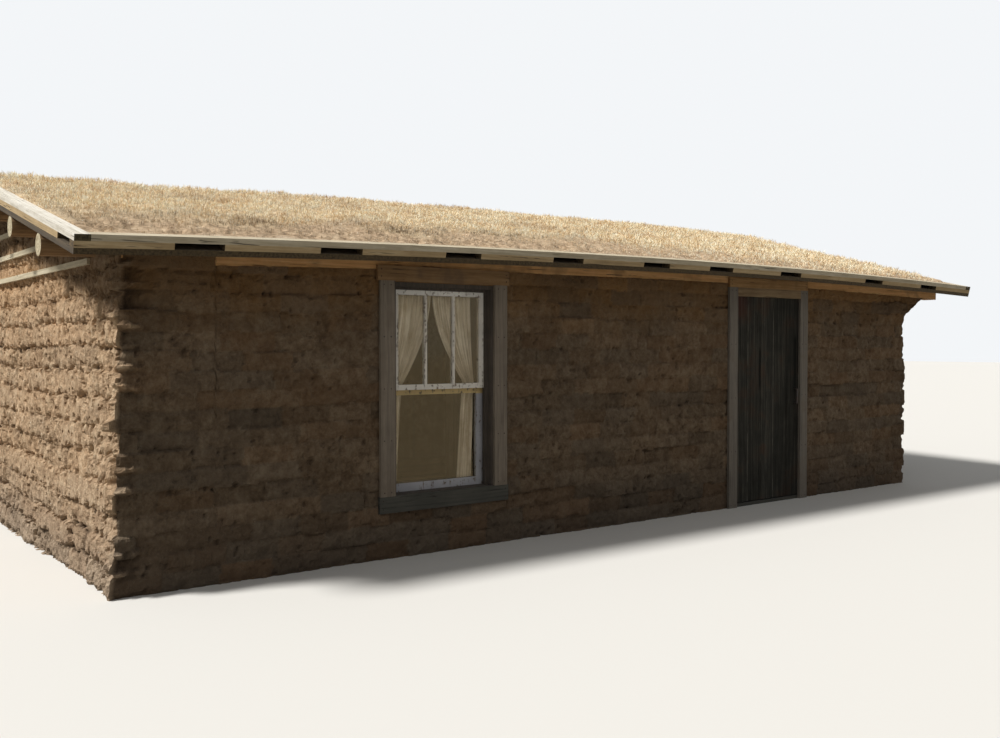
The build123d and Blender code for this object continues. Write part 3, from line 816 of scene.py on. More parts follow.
def thatchMaterial():
    material, tree, shader, place = newMaterial("turf bed")
    look = thatchLook
    _, y, _ = partsOf(tree, place)
    broad = noiseAt(tree, place, *turfNoise["broad"])
    clumps = noiseAt(tree, place, *turfNoise["clumps"])
    fibre = noiseAt(tree, stretched(tree, place, look["fibreWaves"]), 1.0, 3.0, 0.7)
    mixed = timesPlus(tree, clumps, 0.5, times(tree, fibre, 0.5))
    base = colours(tree, mixed, [(0.36, look["soil"]), (0.5, look["duff"]), (0.66, look["straw"])])
    base = blend(tree, remap(tree, broad, 0.5, 0.68, 0.0, look["greyShare"]), base, look["grey"])
    out = absolute(tree, y)
    clods = noiseAt(tree, place, 21.0, 5.0, 0.7)
    clods = timesPlus(tree, broad, 0.3, times(tree, clods, 0.7))
    clodStops = [(0.38, look["clodDark"]), (0.49, look["clodMiddle"]), (0.62, look["clodLight"])]
    broken = colours(tree, clods, clodStops)
    low = lowBandAt(tree, broad, clumps, out)
    base = blend(tree, times(tree, low, look["brokenShare"]), base, broken)
    edge = remap(tree, timesPlus(tree, clumps, 0.25, out), look["sandyFrom"], look["sandyTo"])
    base = blend(tree, times(tree, edge, look["sandyShare"]), base, look["sandy"])
    # painted shade: the upright faces of the bed, in the gaps behind the curbs, are darkened
    facing = partsOf(tree, addNode(tree, "ShaderNodeTexCoord").outputs["Normal"])[1]
    upright = remap(tree, absolute(tree, facing), 0.7, 0.9)
    base = blend(tree, upright, base, look["gapShade"])
    setShader(tree, shader, {"Base Color": base, **look["surface"]})
    setBump(tree, shader, plus(tree, fibre, clumps), look["bump"], 0.8)
    return material


turfBed = thatchMaterial()

turf = {
    "grid": 0.045,
    "lumpHeight": 0.040,
    "lumpSize": 0.55,
    "clodHeight": 0.022,
    # between these two distances from the ridge the clods grow from the third figure to the fourth
    "clodGrowth": (2.0, 2.6, 1.0, 2.2),
    "edge": 0.001,         # the bed keeps this far off the rim of its stand-in
    "ridgeGap": 0.0005,    # and this far from the other slope's bed
    "edgeBand": 0.16,      # the lumps die away over this width next to the eave curb
    "endBand": 0.07,       # and over this one next to the rake curbs
    # where the ridge has grown above the sods, as x along the house and the extra height
    "ridgeGrowth": [(-4.7, 0.012), (-3.7, 0.010), (-2.6, 0.0), (-1.9, 0.022), (-1.3, 0.026), (-0.9, 0.0),
                    (-0.3, 0.022), (0.6, 0.016), (2.0, 0.030), (3.5, 0.055), (4.7, 0.065)],
    "ridgeSpread": 1.5,
}


def lumpGroup():
    inputs = [("Lump Height", "Float", turf["lumpHeight"]), ("Lump Size", "Float", turf["lumpSize"]),
              ("Clod Height", "Float", turf["clodHeight"]), ("Seed", "Float", 2.0),
              ("Material", "Material", None)]
    g, start, end = newGroup("turf lumps", inputs)
    where = addNode(g, "GeometryNodeInputPosition").outputs[0]
    x, y, _ = partsOf(g, where)
    flat = point(g, x, y, start["Seed"])
    lumps = centred(g, noiseAt(g, flat, calc(g, "DIVIDE", 1.0, start["Lump Size"]), 3.0, 0.55))
    clods = centred(g, noiseAt(g, flat, 9.0, 3.0, 0.6))
    height = times(g, lumps, times(g, start["Lump Height"], 2.0))
    clods = times(g, clods, remap(g, absolute(g, y), *turf["clodGrowth"]))
    height = timesPlus(g, clods, times(g, start["Clod Height"], 2.0), height)
    height = timesPlus(g, height, named(g, "fade"), named(g, "growth"))
    moved = pushed(g, start["Geometry"], point(g, 0.0, 0.0, height))
    finishGroup(g, moved, start["Material"], end)
    return g


def turfShell(nodeName):
    low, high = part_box(nodeName)
    side = -1 if low[1] < -1 else 1
    eave = (low[1] + turf["edge"]) if side < 0 else (high[1] - turf["edge"])
    ys = steps(eave, side * turf["ridgeGap"], turf["grid"])
    under = [ys[-1], ys[-1] * 0.4 + eave * 0.6, eave]    # the underside takes three points
    spots, gains = zip(*turf["ridgeGrowth"])
    rings, fade, growth, top = [], [], [], []
    for x in steps(low[0] + turf["edge"], high[0] - turf["edge"], turf["grid"]):
        ring = [[x, y, topAt(nodeName, x, y)] for y in ys]
        ring += [[x, y, undersideAt(nodeName, x, y)] for y in under]
        rings.append(np.array(ring))
        sideRoom = min(x - low[0], high[0] - x)
        inside = np.minimum(np.abs(ys - eave) / turf["edgeBand"], sideRoom / turf["endBand"])
        swell = np.interp(x, spots, gains) * np.exp(-((ys / turf["ridgeSpread"]) ** 2))
        swell = swell * np.clip(inside, 0, 1)
        below = np.zeros(len(under))
        fade.append(np.concatenate([np.clip(inside, 0, 1), below]))
        growth.append(np.concatenate([swell, below]))
        top.append(np.concatenate([np.ones(len(ys)), below]))
    values = {"fade": np.concatenate(fade), "growth": np.concatenate(growth), "top": np.concatenate(top)}
    points, faces = loftRings(rings)
    return points, faces, values


strawLook = {
    "pale": tone(255, 250, 226),
    "tan": tone(255, 234, 194),
    "brown": tone(214, 182, 142),
    "grey": tone(152, 128, 102),
    "clump": tone(112, 92, 66),
    "base": 0.60,          # painted shade: how dark a blade is at its foot, among the other blades
    "bandFrom": 2.35,      # the older growth, as a distance from the ridge
    "bandTo": 2.9,
    "nearEnd": (1.5, -3.0),    # it grows stronger from the first x to the second
    "weedsFrom": 0.4,      # and the dark weeds along the ridge
    "weedsTo": 0.1,
    "greyShare": 0.85,
    "clumpShare": 0.8,
    "brownShare": 0.35,
    "weedsShare": 0.55,
    "streakWaves": (500.0, 500.0, 60.0),
    "bump": 0.001,
    "surface": {"Roughness": 0.75, "Specular IOR Level": 0.25},
}


def strawMaterial():
    material, tree, shader, place = newMaterial("dry grass")
    look = strawLook
    tint = attribute(tree, "strawTint")
    up = attribute(tree, "bladeUp")
    x, y, _ = partsOf(tree, place)
    broad = noiseAt(tree, place, *turfNoise["broad"])
    patches = noiseAt(tree, place, 5.0, 4.0, 0.65)
    mixed = timesPlus(tree, patches, 0.75, times(tree, tint, 0.25))
    base = colours(tree, mixed, [(0.34, look["brown"]), (0.46, look["tan"]), (0.58, look["pale"])])
    # greyer, older growth lies in the lower band towards the near end
    lower = timesPlus(tree, patches, 0.8, absolute(tree, y))
    lower = remap(tree, lower, look["bandFrom"], look["bandTo"])
    nearEnd = remap(tree, x, *look["nearEnd"])
    age = times(tree, times(tree, lower, nearEnd), remap(tree, patches, 0.40, 0.56, 0.3, 1.0))
    base = blend(tree, times(tree, age, look["greyShare"]), base, look["grey"])
    clump = remap(tree, noiseAt(tree, place, 12.0, 3.0, 0.6), 0.52, 0.62)
    clump = times(tree, clump, remap(tree, age, 0.05, 0.6, 0.14, 1.0))
    base = blend(tree, times(tree, clump, look["clumpShare"]), base, look["clump"])
    base = blend(tree, remap(tree, broad, 0.54, 0.7, 0.0, look["brownShare"]), base, look["brown"])
    weeds = remap(tree, noiseAt(tree, place, 2.7, 3.0, 0.6), 0.54, 0.6)
    weeds = times(tree, weeds, remap(tree, absolute(tree, y), look["weedsFrom"], look["weedsTo"]))
    base = blend(tree, times(tree, weeds, look["weedsShare"]), base, look["clump"])
    # painted shade at a blade's foot and painted light at its tip
    base = shade(tree, base, remap(tree, up, 0.0, 0.8, look["base"], 1.12))
    setShader(tree, shader, {"Base Color": base, **look["surface"]})
    streaks = noiseAt(tree, stretched(tree, place, look["streakWaves"]), 1.0, 2.0, 0.5)
    setBump(tree, shader, streaks, look["bump"], 0.6)
    return material


dryGrass = strawMaterial()

grass = {
    "density": 880.0,       # tufts in a square metre
    "farDensity": 420.0,    # the same on the back slope
    "kinds": 5,             # different tufts
    "blades": 7,
    "tilt": 0.4,            # a tuft leans over by up to this angle
    "tuftSizes": (0.65, 1.15),
    "bladeSizes": (0.6, 1.0),
    "leans": (0.2, 1.0),
    "footSpread": 0.25,     # this one and the next five are shares of a blade's length
    "footDepth": 0.12,
    "bendHeight": 0.55,
    "bendLean": 0.3,
    "bladeWidth": 0.058,
    "lean": 0.55,
    "height": 0.048,        # at the near end
    "tallHeight": 0.070,    # at the far end, where it has grown longest
    "tallBand": (-1.5, 2.5),    # the x between which it grows longer
    "lowThinning": 0.55,    # what the broken soil along the eaves takes from the cover
    "lowShortening": 0.35,  # and from the height
    "lowBand": (3.5, -1.0),     # it takes less at the first x than at the second
    "bareEnd": 0.35,        # bare soil in the corner between the eave and the far rake
    "bareBand": (2.2, 3.0),     # the distances from the ridge between which that sets in
    "least": 0.004,         # no tuft is lower than this
    "highest": 0.080,       # and no blade stands further than this above the CAD model
    "seed": 11,
    "bareEdge": 0.05,       # bare soil next to the eave curb
    "spare": 0.1,           # the outer parts of the grass may reach this far past the turf's ends
}


def tuftMesh(seed):
    # a unit tuft of bent blades, two faces to a blade
    rng = np.random.default_rng(seed)
    points, faces, up = [], [], []
    for _ in range(grass["blades"]):
        turn = rng.uniform(0, 2 * math.pi)
        lean = rng.uniform(*grass["leans"]) * grass["lean"]
        tall = rng.uniform(*grass["bladeSizes"])
        foot = rng.uniform(-grass["footSpread"], grass["footSpread"], 2)
        ahead = np.array([math.cos(turn), math.sin(turn)])
        beside = np.array([-ahead[1], ahead[0]]) * grass["bladeWidth"] / 2
        middle = foot + ahead * lean * grass["bendLean"] * tall
        tip = foot + ahead * lean * tall
        bend = grass["bendHeight"]
        start = len(points)
        points += [(*foot, -grass["footDepth"]), (*(middle + beside), bend * tall),
                   (*(middle - beside), bend * tall), (*tip, tall * (1 - grass["bendLean"] * lean))]
        faces += [(start, start + 1, start + 2), (start + 1, start + 3, start + 2)]
        up += [0.0, bend, bend, 1.0]
    mesh = bpy.data.meshes.new("tuft")
    mesh.from_pydata(points, [], faces)
    mesh.attributes.new("bladeUp", "FLOAT", "POINT").data.foreach_set("value", up)
    return mesh


def tuftCollection():
    kinds = bpy.data.collections.new("tufts")
    bpy.context.scene.collection.children.link(kinds)
    for k in range(grass["kinds"]):
        kinds.objects.link(bpy.data.objects.new(f"tuft{k}", tuftMesh(grass["seed"] + k)))
    return kinds


def grassGroup():
    inputs = [("Density", "Float", grass["density"]), ("Blade Height", "Float", grass["height"]),
              ("Tall Blade Height", "Float", grass["tallHeight"]), ("Bare Edge", "Float", grass["bareEdge"]),
              ("From X", "Float", -9.0), ("To X", "Float", 9.0), ("Eave", "Float", 3.1),
              ("Bare End", "Float", grass["bareEnd"]), ("Rake", "Float", 4.6), ("Highest", "Float", 3.0),
              ("Seed", "Int", grass["seed"]), ("Tufts", "Collection", None), ("Material", "Material", None)]
    g, start, end = newGroup("roof grass", inputs)
    where = addNode(g, "GeometryNodeInputPosition").outputs[0]
    x, y, z = partsOf(g, where)
    out = absolute(g, y)
    patch = noiseAt(g, where, 2.4, 3.0, 0.6)
    small = noiseAt(g, where, 8.0, 2.0, 0.6)
    edgeRoom = minus(g, minus(g, start["Eave"], start["Bare Edge"]), out)
    edgeRoom = timesPlus(g, centred(g, small), 0.35, edgeRoom)
    bare = timesPlus(g, start["Bare End"], remap(g, out, *grass["bareBand"]), -0.1)
    endRoom = minus(g, minus(g, start["Rake"], bare), x)
    endRoom = timesPlus(g, centred(g, small), 0.3, endRoom)
    cover = times(g, remap(g, patch, 0.3, 0.5, 0.55, 1.0), remap(g, edgeRoom, -0.08, 0.12, 0.06, 1.0))
    cover = times(g, cover, remap(g, endRoom, -0.05, 0.12, 0.03, 1.0))
    # the broken soil along the eaves has thin, short growth, thinner towards the near end
    broad = noiseAt(g, where, *turfNoise["broad"])
    clumps = noiseAt(g, where, *turfNoise["clumps"])
    low = lowBandAt(g, broad, clumps, out)
    low = times(g, low, remap(g, x, *grass["lowBand"], 0.45, 1.0))
    cover = times(g, cover, timesPlus(g, low, -grass["lowThinning"], 1.0))
    inside = times(g, calc(g, "GREATER_THAN", x, start["From X"]), calc(g, "LESS_THAN", x, start["To X"]))
    inside = times(g, inside, calc(g, "GREATER_THAN", named(g, "top"), 0.9))
    density = times(g, times(g, start["Density"], cover), inside)
    ground = {"Mesh": start["Geometry"], "Density": density, "Seed": start["Seed"]}
    spots = addNode(g, "GeometryNodeDistributePointsOnFaces", ground, distribute_method="RANDOM")
    tips = [randomBetween(g, -grass["tilt"], grass["tilt"], seed) for seed in (1, 2)]
    turn = point(g, *tips, randomBetween(g, 0.0, 6.283, 3))
    turn = addNode(g, "FunctionNodeEulerToRotation", {0: turn}).outputs[0]
    farEnd = remap(g, x, *grass["tallBand"])
    gain = minus(g, start["Tall Blade Height"], start["Blade Height"])
    tall = timesPlus(g, gain, farEnd, start["Blade Height"])
    tall = times(g, tall, remap(g, small, 0.3, 0.7, 0.7, 1.2))
    tall = times(g, tall, remap(g, endRoom, 0.0, 0.3, 0.5, 1.0))
    tall = times(g, tall, timesPlus(g, low, -grass["lowShortening"], 1.0))
    tall = times(g, tall, randomBetween(g, *grass["tuftSizes"], 4))
    tall = between(g, grass["least"], tall, minus(g, start["Highest"], z))
    choice = {"Collection": start["Tufts"], "Separate Children": True, "Reset Children": True}
    tufts = addNode(g, "GeometryNodeCollectionInfo", choice)
    placed = addNode(g, "GeometryNodeInstanceOnPoints",
                     {"Points": spots.outputs["Points"], "Instance": tufts.outputs[0], "Pick Instance": True,
                      "Rotation": turn, "Scale": point(g, tall, tall, tall)}).outputs[0]
    tinted = keep(g, placed, "strawTint", randomBetween(g, 0.0, 1.0, 5), "INSTANCE")
    finishGroup(g, tinted, start["Material"], end)
    return g


def buildTurf():
    lumps, tufts, growing = lumpGroup(), tuftCollection(), grassGroup()
    for nodeName, bedName, label, count, density in (
        ("front_turf", "frontTurfBed", "frontGrass", 4, grass["density"]),
        ("back_turf", "backTurfBed", "backGrass", 2, grass["farDensity"]),
    ):
        bed = newObject(bedName, meshOf(nodeName, [turfShell(nodeName)]))
        closeUp(bed.data)
        grow(bed, lumps, {"Material": turfBed})
        low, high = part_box(nodeName)
        edges = np.linspace(low[0] - grass["spare"], high[0] + grass["spare"], count + 1)
        for k in range(count):
            piece = newObject(f"{label}{k + 1}", bed.data.copy())
            grow(piece, growing, {"Density": density, "From X": edges[k], "To X": edges[k + 1],
                                  "Eave": max(abs(low[1]), abs(high[1])), "Rake": high[0],
                                  "Highest": cadBox[1][2] + grass["highest"], "Seed": grass["seed"] + k,
                                  "Tufts": tufts, "Material": dryGrass})
            fasten(piece, "house")
            print("grass", piece.name, triangles(piece))
        fasten(bed, "house", (nodeName,))
        print("turf bed", bedName, triangles(bed))
    for tuft in list(tufts.objects):
        bpy.data.objects.remove(tuft)
    bpy.data.collections.remove(tufts)


buildTurf()


# Weathered wood: one recipe, with the grain running along each board's own length.

def tones(dark, middle, light):
    return {"dark": tone(*dark), "middle": tone(*middle), "light": tone(*light)}


# what a board has unless its own look says otherwise
commonLook = {
    "slope": 0.0,             # a board up the roof's slope drifts in height as it runs
    "boardStart": 0.0,
    "boardSpread": 0.2,       # how far the boards of one piece differ in tone
    "wobble": 0.03,
    "blotchSize": 4.0,
    "stainShare": 0.6,
    "streakWaves": (1.5, 55.0),     # to a metre along the board and across it
    "fibreWaves": (9.0, 420.0),
    "crackWaves": (2.2, 90.0),
    "crackBand": (0.665, 0.72),     # a lower pair makes more cracks
    "crack": tone(38, 30, 24),
    "crackShare": 0.75,
    "roughness": 0.85,
    "specular": 0.25,
    "bump": 0.0022,
}


def woodMaterial(name, look):
    material, tree, shader, place = newMaterial(name)
    look = {**commonLook, "endDark": look["dark"], "endLight": look["middle"], **look}
    axes = partsOf(tree, place)
    order = {"x": (0, 1, 2), "y": (1, 0, 2), "z": (2, 0, 1)}[look["grain"]]
    along, across, depth = (axes[k] for k in order)
    if look["slope"]:
        depth = timesPlus(tree, absolute(tree, along), look["slope"], depth)
    board = 0.0
    if "boardWidth" in look:
        lane = axes["xyz".index(look["boardAxis"])]
        lane = calc(tree, "DIVIDE", minus(tree, lane, look["boardStart"]), look["boardWidth"])
        board = chance(tree, point(tree, calc(tree, "FLOOR", lane), 3.3, 0.5))
    start = timesPlus(tree, board, 13.0, along)
    wobble = times(tree, noiseAt(tree, place, 3.0, 2.0), look["wobble"])
    side = plus(tree, across, wobble)

    def drawnOut(waves, detail, roughness):
        # a noise drawn out along the board, by its waves to a metre along it and across it
        lengthwise, crosswise = waves
        sides = times(tree, side, crosswise), times(tree, depth, crosswise)
        return noiseAt(tree, point(tree, times(tree, start, lengthwise), *sides), 1.0, detail, roughness)

    streaks = drawnOut(look["streakWaves"], 5.0, 0.62)
    fibre = drawnOut(look["fibreWaves"], 2.0, 0.6)
    blotch = noiseAt(tree, place, look["blotchSize"], 3.0, 0.6)
    crack = remap(tree, drawnOut(look["crackWaves"], 2.0, 0.5), *look["crackBand"])
    mixed = timesPlus(tree, streaks, 0.55, times(tree, fibre, 0.2))
    mixed = timesPlus(tree, blotch, 0.25, mixed)
    base = colours(tree, mixed, [(0.34, look["dark"]), (0.5, look["middle"]), (0.66, look["light"])])
    if "stain" in look:
        base = blend(tree, remap(tree, blotch, 0.5, 0.68, 0.0, look["stainShare"]), base, look["stain"])
    if "boardWidth" in look:
        spread = look["boardSpread"]
        base = shade(tree, base, timesPlus(tree, board, 2 * spread, 1.0 - spread))
    if "paleEdges" in look:
        base = doorMarks(tree, place, base, look)
    base = blend(tree, times(tree, crack, look["crackShare"]), base, look["crack"])
    height = timesPlus(tree, fibre, 0.35, streaks)
    height = timesPlus(tree, crack, -1.2, height)
    if "paint" in look:
        flakes = noiseAt(tree, place, 28.0, 6.0, 0.7)
        worn = timesPlus(tree, streaks, 0.45, times(tree, flakes, 0.55))
        paint = remap(tree, worn, look["peel"] + 0.03, look["peel"] - 0.02)
        coat = point(tree, *look["paint"])
        # a second paint above a height: the lower sash's cream meeting rail, and on the upper sash a whiter
        # top rail that is painted light
        if "paintAbove" in look:
            fromHeight, other = look["paintAbove"]
            coat = blend(tree, calc(tree, "GREATER_THAN", axes[2], fromHeight), coat, other)
        coat = shade(tree, coat, remap(tree, blotch, 0.35, 0.65, 0.88, 1.04))
        base = blend(tree, paint, base, coat)
        height = timesPlus(tree, paint, 0.7, height)
        roughness = remap(tree, paint, 0.0, 1.0, 0.85, 0.5)
    else:
        roughness = remap(tree, streaks, 0.3, 0.7, look["roughness"] - 0.08, look["roughness"] + 0.08)
    # end grain is darker and shows short marks instead of streaks
    facing = addNode(tree, "ShaderNodeTexCoord").outputs["Normal"]
    endWay = partsOf(tree, facing)[order[0]]
    ends = remap(tree, absolute(tree, endWay), 0.75, 0.9)
    rings = noiseAt(tree, place, 70.0, 3.0, 0.6)
    endTone = colours(tree, rings, [(0.35, look["endDark"]), (0.62, look["endLight"])])
    base = blend(tree, ends, base, endTone)
    setShader(tree, shader, {"Base Color": base, "Roughness": roughness,
                             "Specular IOR Level": look["specular"]})
    setBump(tree, shader, height, look["bump"], 0.9)
    return material


def doorMarks(tree, place, base, look):
    # pale lines beside two seams, a warm corner at the top, and dark cracks
    axes = partsOf(tree, place)
    rough = noiseAt(tree, place, 5.0, 3.0, 0.6)
    x = timesPlus(tree, centred(tree, rough), look["markDrift"], axes[0])
    z = axes[2]
    base = shade(tree, base, remap(tree, x, *look["sideFade"]))
    warm = times(tree, remap(tree, x, *look["warmAcross"]), remap(tree, z, *look["warmUp"]))
    base = blend(tree, times(tree, warm, look["warmShare"]), base, look["warmCorner"])
    for edge in look["paleEdges"]:
        away = absolute(tree, minus(tree, x, edge))
        line = remap(tree, away, look["edgeWidth"], 0.3 * look["edgeWidth"])
        line = times(tree, line, remap(tree, rough, 0.38, 0.6, 0.3, 0.95))
        base = blend(tree, line, base, look["paleTone"])
    for middle, low, high, halfWidth in look["cracks"]:
        away = absolute(tree, minus(tree, x, middle))
        soft = look["crackEnds"]
        foot = remap(tree, z, low - soft, low + soft)
        run = times(tree, foot, remap(tree, z, high + soft, high - soft))
        dark = times(tree, remap(tree, away, halfWidth, 0.4 * halfWidth), run)
        base = blend(tree, times(tree, dark, look["crackDark"]), base, look["crackTone"])
    return base


def wear(material, *names):
    for name in names:
        for slot in nodes[name].material_slots:
            slot.material = material


roofSlope = 0.2345

curbLook = {**tones((160, 146, 118), (202, 188, 160), (230, 219, 196)),
            "stain": tone(150, 134, 104), "stainShare": 0.35,
            "endDark": tone(48, 42, 28), "endLight": tone(88, 78, 54)}
blockLook = {**tones((146, 124, 90), (184, 158, 118), (212, 190, 150)),
             "endDark": tone(60, 50, 36), "endLight": tone(110, 92, 66)}
deckLook = {**tones((60, 52, 42), (90, 78, 62), (118, 103, 83)),
            "endDark": tone(58, 48, 33), "endLight": tone(92, 77, 54),
            "boardAxis": "x", "boardWidth": 0.19, "boardSpread": 0.18, "grain": "y", "slope": roofSlope}
logLook = {"grain": "x", **tones((104, 80, 54), (142, 112, 78), (176, 146, 108)),
           "endDark": tone(160, 144, 112), "endLight": tone(214, 200, 168), "bump": 0.004}
plateLook = {"grain": "x", **tones((182, 132, 80), (222, 170, 114), (240, 198, 144)),
             "stain": tone(120, 88, 58), "stainShare": 0.5}
plankLook = {"grain": "y", **tones((160, 146, 118), (204, 190, 160), (228, 216, 188))}
floorLook = {"grain": "x", **tones((92, 78, 62), (124, 106, 84), (150, 130, 104)),
             "boardAxis": "y", "boardWidth": 0.14}
casingLook = {"grain": "z", **tones((100, 89, 77), (133, 121, 106), (156, 143, 127)),
              "stain": tone(106, 92, 78), "stainShare": 0.5}
doorCasingLook = {"grain": "z", **tones((94, 86, 77), (123, 115, 104), (144, 134, 122)),
                  "stain": tone(104, 90, 74), "stainShare": 0.45}
headLook = {"grain": "x", **tones((118, 90, 60), (148, 116, 80), (172, 140, 102)),
            "stain": tone(98, 80, 64), "stainShare": 0.6}
sillLook = {"grain": "x", **tones((52, 50, 45), (74, 72, 65), (94, 91, 82))}
lintelLook = {"grain": "x", **tones((132, 98, 60), (168, 130, 86), (192, 156, 110)),
              "stain": tone(110, 82, 52), "stainShare": 0.5}
headBoardLook = {"grain": "x", **tones((106, 86, 62), (142, 118, 88), (168, 144, 110))}
darkFrameLook = {"grain": "z", **tones((56, 50, 44), (80, 72, 64), (102, 92, 82))}
doorLook = {"grain": "z", **tones((34, 33, 29), (62, 60, 54), (102, 98, 88)), "specular": 0.05,
            "stain": tone(74, 48, 32), "stainShare": 0.4, "boardAxis": "x", "boardWidth": 0.186,
            "boardStart": 1.13, "boardSpread": 0.26, "wobble": 0.02}
doorMarkLook = {
    "paleEdges": (1.309, 1.684),     # as x
    "edgeWidth": 0.010,
    "paleTone": tone(116, 112, 102),
    "markDrift": 0.006,
    "sideFade": (1.2, 1.75, 1.18, 0.84),    # from one x to the other, brighter to darker
    "warmCorner": tone(84, 50, 42),
    "warmAcross": (1.42, 1.16),      # the corner's tone begins at the first x or height
    "warmUp": (1.62, 1.9),
    "warmShare": 0.6,
    "cracks": ((1.482, 1.09, 1.46, 0.019), (2.015, 1.05, 1.57, 0.030)),    # x, foot, head, half width
    "crackTone": tone(22, 22, 19),
    "crackDark": 0.85,
    "crackEnds": 0.04,               # they fade out over this length
}
# the upper sash's top rail, above 1.85 m, gets a whiter paint as painted light against the shade under the
# head
sashLook = {"grain": "z", **tones((118, 104, 90), (146, 130, 114), (170, 154, 136)),
            "paint": tone(246, 238, 224), "peel": 0.555, "paintAbove": (1.85, tone(255, 250, 240))}
lowerSashLook = {"grain": "z", **tones((96, 84, 72), (120, 106, 92), (146, 130, 112)),
                 "paint": tone(190, 188, 190), "peel": 0.56, "paintAbove": (1.13, tone(226, 198, 140))}


def dressBoards():
    wear(woodMaterial("eave curb top", {**curbLook, "grain": "x"}), "eave_curb_boards")
    rakeLook = {**curbLook, **tones((172, 162, 142), (228, 220, 204), (248, 244, 234))}
    wear(woodMaterial("rake curb top", {**rakeLook, "grain": "y", "slope": roofSlope}), "rake_curb_boards")
    wear(woodMaterial("eave curb block", {**blockLook, "grain": "x"}), "eave_curb_blocks")
    wear(woodMaterial("rake curb block", {**blockLook, "grain": "y", "slope": roofSlope}), "rake_curb_blocks")
    wear(woodMaterial("deck boards", deckLook), "front_roof_deck", "back_roof_deck")
    wear(woodMaterial("roof logs", logLook), "ridge_log", "purlin_logs")
    wear(woodMaterial("wall plate", plateLook), "wall_plates")
    wear(woodMaterial("gable planks", plankLook), "gable_planks")
    wear(woodMaterial("room floor", floorLook), "floor")
    wear(woodMaterial("window casing", casingLook), "window_casings")
    wear(woodMaterial("window head casing", headLook), "window_head_casing")
    wear(woodMaterial("window sill board", sillLook), "window_sill_board")
    wear(woodMaterial("door casing", doorCasingLook), "door_casings")
    wear(woodMaterial("door lintel", lintelLook), "door_lintel_board")
    wear(woodMaterial("door head board", headBoardLook), "door_head_board", "door_head")
    wear(woodMaterial("frame timber", darkFrameLook), "door_jambs", "window_lining", "window_stops")
    wear(woodMaterial("door threshold", sillLook), "door_threshold")
    wear(woodMaterial("door planks", {**doorLook, **doorMarkLook}), "door_planks")
    wear(woodMaterial("door ledges", {**doorLook, "grain": "x"}), "door_ledges")
    wear(woodMaterial("upper sash paint", sashLook), "upper_sash")
    wear(woodMaterial("lower sash paint", lowerSashLook), "lower_sash")
    wear(sodEarth, "front_wall_over_window", "front_wall_over_door")
    print("boards dressed")


dressBoards()


# Iron, glass and curtains.

ironLook = {
    "dark": tone(30, 26, 23),
    "grey": tone(50, 46, 42),
    "rust": tone(62, 46, 36),
    "rustShare": 0.7,
    "roughness": (0.55, 0.85),
    "metallic": 0.5,
}


def ironMaterial():
    material, tree, shader, place = newMaterial("rusted iron")
    speckle = noiseAt(tree, place, 60.0, 5.0, 0.7)
    broad = noiseAt(tree, place, 14.0, 3.0, 0.6)
    look = ironLook
    base = colours(tree, speckle, [(0.38, look["dark"]), (0.52, look["grey"]), (0.66, look["rust"])])
    base = blend(tree, remap(tree, broad, 0.45, 0.62, 0.0, look["rustShare"]), base, look["rust"])
    roughness = remap(tree, speckle, 0.3, 0.7, *look["roughness"])
    setShader(tree, shader, {"Base Color": base, "Roughness": roughness, "Metallic": look["metallic"]})
    setBump(tree, shader, speckle, 0.001, 0.8)
    return material


rustedIron = ironMaterial()


glassLook = {
    "clean": tone(240, 236, 226),
    "dusty": tone(222, 216, 202),
    # painted reflection: a warm tint on what the glass reflects, standing in for reflected dry grass
    "shine": tone(232, 206, 160),
    "roughness": (0.02, 0.09),    # clean and dusty
    "bending": 1.5,
    "waves": (5.0, 5.0, 2.2),
    "waveDepth": 0.006,
}


def glassMaterial():
    material, tree, shader, place = newMaterial("old window glass")
    look = glassLook
    waves = noiseAt(tree, stretched(tree, place, look["waves"]), 1.0, 2.0, 0.4)
    dust = noiseAt(tree, place, 9.0, 4.0, 0.6)
    tint = colours(tree, dust, [(0.35, look["clean"]), (0.7, look["dusty"])])
    roughness = remap(tree, dust, 0.4, 0.75, *look["roughness"])
    # painted reflection: the warm tint on the glass's reflections
    setShader(tree, shader, {"Base Color": tint, "Roughness": roughness, "Transmission Weight": 1.0,
                             "IOR": look["bending"], "Specular Tint": look["shine"]})
    setBump(tree, shader, waves, look["waveDepth"], 0.35)
    return material


wear(glassMaterial(), "window_glass")
wear(rustedIron, "door_hinge_pins", "door_hinge_straps", "door_pull", "curtain_rod")

clothLook = {
    "cream": tone(238, 232, 224),
    "shadow": tone(182, 170, 154),
    "thread": 1800.0,       # the weave's waves, as an angle to a metre
    "streakWaves": (60.0, 1.6, 1.0),
    "bump": 0.0004,
    "surface": {"Roughness": 0.9, "Sheen Weight": 0.15},
}


def clothMaterial():
    material, tree, shader, _ = newMaterial("curtain cotton")
    across = addNode(tree, "ShaderNodeUVMap", uv_map="cloth").outputs[0]
    u, v, _ = partsOf(tree, across)
    look = clothLook
    weave = times(tree, *(calc(tree, "SINE", times(tree, way, look["thread"])) for way in (u, v)))
    blotch = noiseAt(tree, across, 5.0, 4.0, 0.6)
    streaks = noiseAt(tree, stretched(tree, across, look["streakWaves"]), 1.0, 3.0, 0.6)
    streaks = timesPlus(tree, blotch, 0.3, times(tree, streaks, 0.7))
    base = blend(tree, remap(tree, streaks, 0.38, 0.6), look["cream"], look["shadow"])
    setShader(tree, shader, {"Base Color": base, **look["surface"]})
    setBump(tree, shader, timesPlus(tree, blotch, 2.0, weave), look["bump"], 0.6)
    return material


curtainCotton = clothMaterial()

